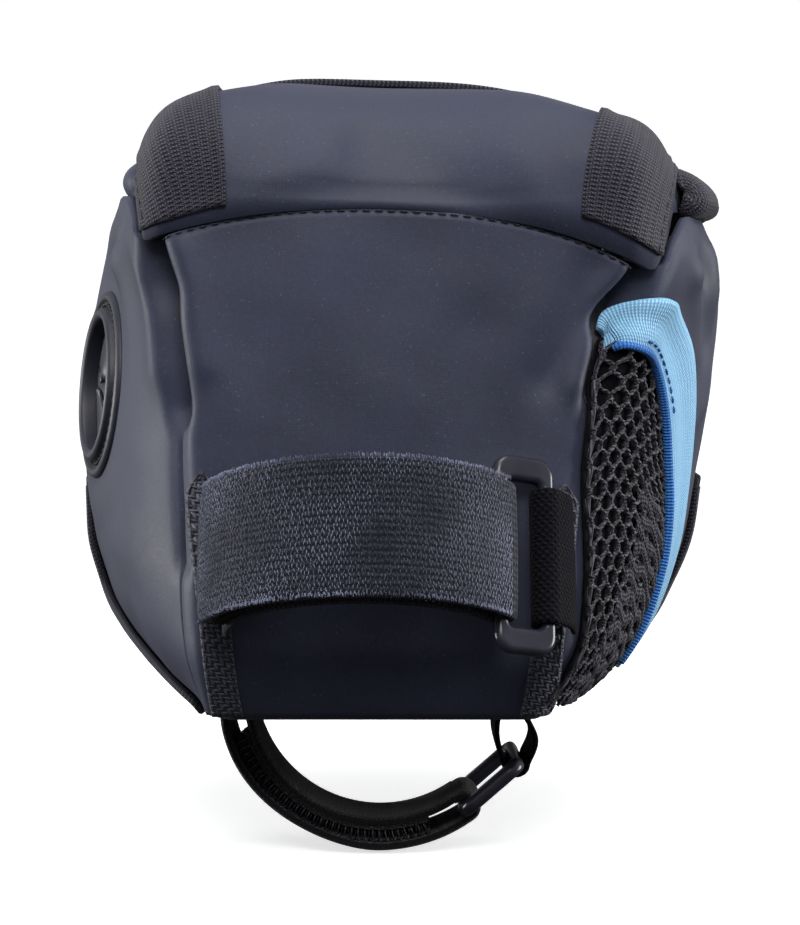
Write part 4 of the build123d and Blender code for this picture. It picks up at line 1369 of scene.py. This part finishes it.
def knit_runs(surface, normals, lift):
    """Yarns of a hexagonal net: each zigzags between its neighbours and is two strands thick."""
    look, look_n = sampler(surface), sampler(normals)
    wide = np.linalg.norm(np.diff(surface[:, POCKET_V // 2], axis=0), axis=1).sum()
    tall = np.linalg.norm(np.diff(surface[POCKET_U // 4], axis=0), axis=1).sum()
    wales = int(wide / MESH_PITCH)
    steps = int(tall / MESH_HALF)
    rng = np.random.default_rng(33)
    runs = []
    for w in range(wales + 1):
        for strand in (0, 1):
            points = []
            for k in range(steps * 3 + 1):
                step, part = divmod(k, 3)
                b = k / (steps * 3.0)
                phase = (step + 2 * w) % 4
                lean_to = YARN_LEAN if phase < 2 else -YARN_LEAN
                next_to = YARN_LEAN if (phase + 1) % 4 < 2 else -YARN_LEAN
                shift = lean_to + (next_to - lean_to) * part / 3
                twist = 0.45 * math.sin(2 * math.pi * k / 3.0 + math.pi * strand + w)
                depth = 0.3 * math.cos(2 * math.pi * k / 3.0 + math.pi * strand + w)
                a = (w * MESH_PITCH + shift + twist + rng.uniform(-0.22, 0.22)) / wide
                points.append((a, b, depth + rng.uniform(-0.06, 0.06)))
            points = np.array(points)
            keep = (points[:, 0] > 0.004) & (points[:, 0] < 0.996)
            if keep.sum() < 6:
                continue
            points = points[keep]
            place = look(points[:, 0], points[:, 1])
            n = look_n(points[:, 0], points[:, 1])
            runs.append(place + n * (lift + points[:, 2:3]))
    return runs


def mesh_pocket():
    """Net of black yarn over a dark backing, with an elastic band along its mouth."""
    grid, normals, bulge = pocket_map()
    backing = skin("pocket_backing", grid + normals * (0.45 * bulge[..., None]), 0.35, MATERIALS["knit_back"],
                   normals=normals)
    attach(backing, "root", "mesh", "mesh_pocket")
    mesh_face = grid + normals * (bulge[..., None] * 0.45 + 0.45)
    net = knit_runs(mesh_face, normals, 0.75)
    front = make_object("pocket_net", [tubes(net, NET_YARN_R, sides=5)], MATERIALS["knit"])
    attach(front, "root", "mesh")
    ribs(mesh_face, normals)
    share = np.linspace(0, 1, 12)[None, :, None]
    band_flat = RIM[:, None] + (HEM - RIM)[:, None] * share
    band, band_n = pocket_surface(band_flat, 0.0)
    stand = pocket_bulge(band_flat[..., 0], band_flat[..., 1]) * 0.45 + 1.2
    band_n = unit(blur(blur(band_n, 6), 2, axis=1))
    band = blur(blur(band, 4), 1, axis=1) + band_n * stand[..., None]
    band, band_n = band[:, ::-1], band_n[:, ::-1]
    across = np.linspace(0, 1, 12)
    thick = 1.1 + 0.25 * np.cos((across - 0.9) * 9)
    elastic_band = skin("pocket_elastic", band, thick[None, :], MATERIALS["blue"], normals=band_n)
    attach(elastic_band, "root", "blue_elastic", "pocket_binding")
    edge_path = (band[:, 0] + band_n[:, 0] * 0.8)[3:-2]
    k = np.linspace(0, 2 * math.pi, 13)[:-1]
    roll_shape = np.stack([0.95 * np.cos(k), 0.8 * np.sin(k)], 1)
    edge_roll = sweep(edge_path, band_n[3:-2, 0], roll_shape)
    roll = make_object("pocket_elastic_edge", [edge_roll], MATERIALS["blue_edge"])
    attach(roll, "root", "blue_elastic")
    sewn = (band[:, 2] + band_n[:, 2] * 1.35)[SEWN_PART]
    row = stitches("pocket_elastic_thread", sewn, band_n[SEWN_PART, 2], MATERIALS["blue_edge"],
                   pitch=2.2, length=1.8, radius=0.2, lift=0.2)
    attach(row, "root", "blue_elastic")


GATHER_ROW = 3.3
GATHER_STEP = 1.0


def ribs(surface, normals):
    """Where the mesh is drawn in low down, its yarns bunch into soft curved rows."""
    look, look_n = sampler(surface), sampler(normals)
    wide = np.linalg.norm(np.diff(surface[:, POCKET_V // 2], axis=0), axis=1).sum()
    tall = np.linalg.norm(np.diff(surface[POCKET_U // 4], axis=0), axis=1).sum()
    rng = np.random.default_rng(8)
    runs = []
    t = np.linspace(0, 1, 7)
    for level in np.arange(0.02, 0.66, GATHER_ROW / tall):
        start = 0.24 + 0.30 * ease(0.12, 0.66, level) + rng.uniform(-0.02, 0.02)
        for share in np.arange(start, 0.985, GATHER_STEP / wide):
            droop = 0.055 * (share - start) + 0.012 * math.sin(share * 23 + level * 40)
            b = level - droop + (t - 0.5) * (GATHER_ROW * 1.05 / tall)
            sway = rng.uniform(-0.18, 0.18)
            a = share + (0.16 * np.sin(2 * math.pi * t * 1.5 + sway * 3) + sway * t) / wide
            rise = 0.55 + rng.uniform(0.68, 0.88) * np.sin(math.pi * t) ** 0.7
            runs.append(look(a, b) + look_n(a, b) * rise[:, None])
    gathered = make_object("pocket_gathers", [tubes(runs, GATHER_YARN_R, sides=4)], MATERIALS["knit"])
    attach(gathered, "root", "mesh")


# ---------------------------------------------------------------- bindings and boot

BINDING_X = {"left": (-34.2, -38.6), "right": (22.0, 27.0)}
BINDING_WIDE = 5.4


def front_binding(side):
    """Coarse woven strip stitched down a front edge and turned under the base."""
    foot, head = BINDING_X[side]
    low, high = (2.0, 46.5) if side == "left" else (2.0, 44.0)
    levels = np.linspace(low, high, 70)
    share = (levels - low) / (high - low)
    across = np.linspace(0, 1, 10)
    grid = np.empty((10, 70, 3))
    normals = np.empty_like(grid)
    for j, z in enumerate(levels):
        x0 = foot + (head - foot) * share[j] ** 0.8
        narrow = ease(1.02, 0.9, share[j])
        for i, a in enumerate(across):
            x = x0 + BINDING_WIDE * (0.5 + (a - 0.5) * narrow)
            place, normal = BAG.hit((x, FRONT_Y - 40, z), (0, 1, 0))
            grid[i, j], normals[i, j] = place, normal
    normals = unit(blur(blur(normals, 3), 4, axis=1))
    strip = skin("binding_" + side, grid, 1.1, MATERIALS["nylon"], lift=0.1, normals=normals)
    attach(strip, "root", "coarse_nylon", "front_binding_" + side)
    for i in (1, 8):
        line = grid[i] + normals[i] * 1.2
        row = stitches(f"binding_{side}_thread_{i}", line, normals[i], MATERIALS["thread"],
                       pitch=2.6, length=2.0, radius=0.18)
        attach(row, "root", "coarse_nylon")


BOOT_FRONT_Y = -22.0
BOOT_SWEEP = {"left": 48.0, "right": 26.0}
BOOT_TOP_Z = 44.0


def base_boot():
    """Black fabric that wraps the lower rear, with a bound top edge."""
    rows = int(np.searchsorted(BODY[RIGHT_START + 90, :, 2], BOOT_TOP_Z))
    grid, out = np.empty((300, rows, 3)), np.empty((300, rows, 3))
    for j in range(rows):
        low = ease(24, 2, BODY[RIGHT_START + 90, j, 2])
        right_y, left_y = (BOOT_FRONT_Y - BOOT_SWEEP[side] * low for side in ("right", "left"))
        ring = np.arange(RIGHT_START, RING)
        first = np.interp(right_y, BODY[RIGHT_START:REAR_START, j, 1], ring[:RING_SIDE])
        last = np.interp(-left_y, -BODY[LEFT_START:RING, j, 1], ring[-RING_SIDE:])
        at = np.linspace(first, last, 300)
        for k in range(3):
            grid[:, j, k] = np.interp(at, ring, BODY[RIGHT_START:RING, j, k])
            out[:, j, k] = np.interp(at, ring, BODY_OUT[RIGHT_START:RING, j, k])
    out = unit(out)
    wrap = skin("boot_cloth", grid, 1.3, MATERIALS["black"], lift=0.4, normals=out)
    attach(wrap, "root", "black_fabric", "base_boot")
    edges = (("top", grid[:, -1], out[:, -1]), ("right", grid[0], out[0]), ("left", grid[-1], out[-1]))
    for name, path, n in edges:
        wide = unit(np.gradient(path, axis=0))
        wide = unit(np.cross(n, wide))
        bead = make_object("boot_binding_" + name, [sweep(path + n * 1.2, wide, flat_profile(5.0, 1.6))],
                           MATERIALS["tape"])
        attach(bead, "root", "black_fabric")


cable_port()
mesh_pocket()
for SIDE in ("left", "right"):
    front_binding(SIDE)
base_boot()

# ---------------------------------------------------------------- straps

STRAP_WIDE = 25.0
WEB = 1.5
EYE_R = 1.75
ANCHOR_THICK = 1.0
ANCHOR_PLAY = 0.05


class Strap:
    """One strap's flat frame: a loop drawn in (u, v) and its width along n."""

    def __init__(self, name, origin, u, v, centre, inner, bar_angle, anchor_bar):
        self.name = name
        self.origin = np.array(origin, float)
        self.u, self.v = np.array(u, float), np.array(v, float)
        self.n = np.cross(self.u, self.v)
        self.centre = np.array(centre, float)
        self.inner = inner
        self.bar_angle = bar_angle
        self.bar = self.on_loop(inner + WEB + EYE_R, bar_angle)
        self.anchor_bar = np.array(anchor_bar, float)

    def on_loop(self, radius, angle):
        a = np.radians(angle)
        return self.centre + np.stack([np.cos(a) * radius, np.sin(a) * radius], -1)

    def place(self, flat, across=0.0):
        flat = np.asarray(flat, float)
        across = np.asarray(across, float)
        aside = across[..., None] if across.ndim else across
        return self.origin + flat[..., :1] * self.u + flat[..., 1:2] * self.v + aside * self.n


TILT = math.radians(17.0)
FRONT_STRAP = Strap("front", (0, FRONT_Y, 28.8), (1, 0, 0), (0, math.cos(TILT), -math.sin(TILT)),
                    (-6.5, 1.5), 24.2, -28.0, (26.3, -7.2))
BOTTOM_STRAP = Strap("bottom", (0, -47.0, 0), (1, 0, 0), (0, 0, 1), (-4.0, 4.0), 25.2, -54.0, (22.6, -10.5))


def webbing(strap, path, widths, thickness=WEB, cup=0.0):
    """A flat strap along a path drawn in the strap's plane, its edges slightly cupped."""
    centre = strap.place(path)
    profiles = []
    for w in widths:
        outline = flat_profile(w, thickness, across=16)
        outline[:, 1] += cup * (2 * outline[:, 0] / STRAP_WIDE) ** 2
        profiles.append(outline)
    return sweep(centre, strap.n, np.array(profiles))


def arc(strap, radius, start, end, count):
    return strap.on_loop(radius, np.linspace(start, end, count))


def rounded_end(along, length, radius=4.0):
    """Width of a strap whose far end has rounded corners."""
    left = np.clip(radius - (length - along), 0, radius)
    return STRAP_WIDE - 2 * (radius - np.sqrt(np.maximum(radius ** 2 - left ** 2, 0)))


def face_of(path, out):
    """A strap path's length, and a look-up of its point, tangent and face normal at a distance."""
    along = lengths(path)
    tangent = unit(np.gradient(path, axis=0))
    normal = np.stack([-tangent[:, 1], tangent[:, 0]], 1) * out
    return along[-1], lambda s: [look_along(line, along, s) for line in (path, tangent, normal)]


def pile(strap, path, out, seed, pitch, height, radius):
    """Brushed loops that stand off a strap's face, denser along its edges and low near the ring."""
    rng = np.random.default_rng(seed)
    total, look = face_of(path, out)
    rows = list(np.arange(-STRAP_WIDE / 2 + 0.5, STRAP_WIDE / 2 - 0.4, pitch))
    edges = [-STRAP_WIDE / 2 + 0.1, STRAP_WIDE / 2 - 0.1] * 2
    runs = []
    for row, across in enumerate(rows + edges):
        edge = row >= len(rows)
        for s in np.arange(1.0 + (row % 2) * pitch / 2, total - 3.0, pitch * (0.6 if edge else 1)):
            s += rng.uniform(-0.14, 0.14)
            w = across + rng.uniform(-0.2, 0.2)
            p, t, n = look(s)
            tall = height * rng.uniform(0.6, 1.2) * (0.2 + 0.8 * float(ease(12, 20, s)))
            lean_to = rng.uniform(-0.35, 0.35)
            drift = rng.uniform(-0.2, 0.2)
            steps = ((0, -0.3, 0), (0.12, 0.5, 0.4), (0.5, 1.0, 0.8), (0.85, 0.55, 1.0), (0.95, -0.2, 1.1))
            run = [strap.place(p + t * drift * k + n * (WEB / 2 + tall * g), w + f * 0.6 + lean_to * g)
                   for f, g, k in steps]
            runs.append(np.array(run))
    return tubes(runs, radius, sides=3, taper=0.8)


def hooks(strap, path, out, rise, pitch, seed):
    """Rows of small bent plastic hooks."""
    rng = np.random.default_rng(seed)
    total, look = face_of(path, out)
    runs = []
    for row, across in enumerate(np.arange(-STRAP_WIDE / 2 + 0.5, STRAP_WIDE / 2 - 0.3, pitch)):
        for s in np.arange(0.8 + (row % 2) * pitch / 2, total - 0.8, pitch):
            p, t, n = look(s + rng.uniform(-0.15, 0.15))
            steps = ((0, 0), (0.05, 0.55), (0.2, 0.9), (0.5, 1.0), (0.72, 0.72))
            runs.append(np.array([strap.place(p + t * f * 1.1 + n * rise * g, across) for f, g in steps]))
    return tubes(runs, 0.2, sides=4, taper=0.9)


def strap_pieces(strap, hook_rise, tail_start, cloth, fuzz):
    """Sewn half with its hooks, and the tail that turns back round the ring's bar."""
    name = strap.name
    base_r = strap.inner + WEB / 2
    tail_r = strap.inner + WEB + 2 * EYE_R + WEB / 2
    hook_r = strap.inner + WEB + 0.45
    start = -190.0 if name == "front" else -188.0
    base_path = arc(strap, base_r, start + 6, strap.bar_angle - 1.5, 110)
    turn = np.radians(strap.bar_angle)
    tangent = np.array([-math.sin(turn), math.cos(turn)])
    radial = np.array([math.cos(turn), math.sin(turn)])
    base = make_object(name + "_strap_base", [webbing(strap, base_path, np.full(110, STRAP_WIDE))],
                       MATERIALS[cloth])
    bend = [tuple(strap.place(strap.on_loop(base_r, strap.bar_angle - a)) * MM) for a in (30, 3)]
    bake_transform(base)
    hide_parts(name + "_strap")
    hook_path = arc(strap, hook_r, start + 26, strap.bar_angle - 16, 90)
    tape = make_object(name + "_hook_band", [webbing(strap, hook_path, np.full(90, STRAP_WIDE - 1.0), 0.9)],
                       MATERIALS["hook"])
    attach(tape, "root", "hook_tape", name + "_hook_tape")
    hook_parts = hooks(strap, hook_path, -1.0, hook_rise, 1.25, 5)
    field = make_object(name + "_hooks", [hook_parts], MATERIALS["hook_glint"])
    attach(field, "root", "hook_tape")

    fold = []
    for k in range(17):
        a = math.pi * k / 16
        fold.append(strap.bar + (EYE_R + WEB / 2) * (-math.cos(a) * radial + math.sin(a) * tangent))
    run = arc(strap, tail_r, strap.bar_angle - 1.5, tail_start, 150)
    wave = 0.35 * np.sin(np.linspace(0, 9, 150)) * ease(34, 60, np.arange(150))
    run = run + (run - strap.centre) / tail_r * wave[:, None]
    short_leg = [strap.bar - (EYE_R + WEB / 2) * radial - tangent * 1.2]
    path = even(np.vstack([short_leg, fold, run]), 230)
    along = lengths(path)
    tail_parts = webbing(strap, path, rounded_end(along, along[-1]), WEB, cup=-0.25)
    tail = make_object(name + "_strap_tail_webbing", [tail_parts], MATERIALS[cloth])
    body = name + "_tail"
    attach(tail, body, "loop_webbing", name + "_strap_tail")
    if fuzz:
        nap_parts = pile(strap, run, 1.0, 17, 0.74, 0.24, 0.085)
        nap = make_object(name + "_strap_nap", [nap_parts], MATERIALS[fuzz])
        attach(nap, body, "loop_webbing")


def anchor(strap, route):
    """Webbing loop that is sewn to the bag and holds the ring's outer bar."""
    name = strap.name
    path = smooth_path(route, 90)
    parts = webbing(strap, path, np.full(90, STRAP_WIDE), ANCHOR_THICK)
    band = make_object(name + "_anchor_webbing", [parts], MATERIALS["anchor"])
    attach(band, "root", "anchor_webbing", name + "_ring_anchor")


def anchor_route(strap, foot_a, foot_b, belly_a, belly_b):
    """From one sewn foot, round the ring's outer bar and back to the other foot."""
    bar = strap.anchor_bar
    middle = (np.array(foot_a) + np.array(foot_b)) / 2
    away = unit(bar - middle)
    side = np.array([-away[1], away[0]])
    r = EYE_R + ANCHOR_THICK / 2 + ANCHOR_PLAY
    route = [foot_a, belly_a]
    for k in range(7):
        a = math.radians(-80 + 160 * k / 6)
        route.append(bar + r * (math.cos(a) * away + math.sin(a) * side))
    route += [belly_b, foot_b]
    return np.array(route)


strap_pieces(FRONT_STRAP, 2.0, -167.0, "loop", "nap")
strap_pieces(BOTTOM_STRAP, 2.6, -170.0, "loop_black", None)
anchor(FRONT_STRAP, anchor_route(FRONT_STRAP, (25.6, -0.6), (31.4, -0.2), (24.0, -4.5), (30.6, -4.5)))
anchor(BOTTOM_STRAP, anchor_route(BOTTOM_STRAP, (19.6, 1.3), (22.6, 1.3), (18.9, -5.0), (26.4, -5.5)))
# ---------------------------------------------------------------- stage, light and camera

CAMERA_DISTANCE = 0.48
CAMERA_HEIGHT = 0.048
LENS = 102.7


def stage():
    """A pale seamless floor and backdrop, four soft lamps and the camera."""
    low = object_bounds()[0].z / MM - 0.5
    reach, back, radius = 3000.0, 1600.0, 500.0
    profile = [(-reach, low), (back, low)]
    for k in range(1, 13):
        a = math.radians(90 * k / 12)
        profile.append((back + radius * math.sin(a), low + radius * (1 - math.cos(a))))
    profile.append((back + radius, reach))
    xs = np.linspace(-reach, reach, 5)
    grid = np.array([[(x, y, z) for y, z in profile] for x in xs])
    m = Nodes("paper_backdrop", roughness=0.9, specular=0.1)
    paper = m.noise(m.place(), 14.0, 3.0)
    m.color(m.mix(paper, (0.9, 0.9, 0.9, 1.0), (0.94, 0.94, 0.94, 1.0)))
    m.shader.inputs["Emission Color"].default_value = (1.0, 1.0, 1.0, 1.0)
    m.shader.inputs["Emission Strength"].default_value = 0.62
    sheet = skin("backdrop", grid, 1, m.material, lift=-1)
    sheet.visible_diffuse = False
    sheet.visible_glossy = False
    sheet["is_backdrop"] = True

    world = bpy.data.worlds.new("studio")
    world.use_nodes = True
    tree = world.node_tree
    place = tree.nodes.new("ShaderNodeTexCoord")
    split = tree.nodes.new("ShaderNodeSeparateXYZ")
    grade = tree.nodes.new("ShaderNodeMapRange")
    grade.inputs["From Min"].default_value = -0.5
    grade.inputs["From Max"].default_value = 0.8
    grade.inputs["To Min"].default_value = 0.04
    grade.inputs["To Max"].default_value = 0.5
    tree.links.new(place.outputs["Generated"], split.inputs[0])
    tree.links.new(split.outputs["Z"], grade.inputs["Value"])
    tree.links.new(grade.outputs[0], tree.nodes["Background"].inputs["Strength"])
    tree.nodes["Background"].inputs["Color"].default_value = (0.96, 0.98, 1.0, 1.0)
    bpy.context.scene.world = world
    lamps = (
        ("front_top", (0.0, -1.1, 0.85), 0.8, 12.0),
        ("left_rim", (-0.95, 0.1, 0.02), 0.5, 11.0),
        ("right_rim", (0.95, 0.0, 0.15), 0.5, 8.0),
        ("top", (0.0, -0.25, 1.1), 0.7, 5.0),
    )
    aim = Vector((0, 0, 0.05))
    for name, place, size, power in lamps:
        light = bpy.data.lights.new(name, "AREA")
        light.shape = "DISK"
        light.size = size
        light.energy = power
        lamp = bpy.data.objects.new(name, light)
        lamp.location = place
        lamp.rotation_euler = (aim - Vector(place)).to_track_quat("-Z", "Y").to_euler()
        bpy.context.scene.collection.objects.link(lamp)

    camera = bpy.data.cameras.new("camera")
    camera.lens = LENS
    camera.sensor_width = 36.0
    view = bpy.data.objects.new("camera", camera)
    view.location = (0, FRONT_Y * MM - CAMERA_DISTANCE, CAMERA_HEIGHT)
    view.rotation_euler = (math.radians(90), 0, 0)
    bpy.context.scene.collection.objects.link(view)
    bpy.context.scene.camera = view
    bpy.context.scene.view_settings.view_transform = "Standard"


stage()

CARRIED = {
    "front_ring": "plastic",
    "bottom_ring": "plastic",
    "zipper_slider_left": "slider",
    "zipper_slider_right": "slider",
    "base_board": "board",
    "base_grip_pad": "grip",
}
for name, key in CARRIED.items():
    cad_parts[name].data.materials[0] = MATERIALS[key]
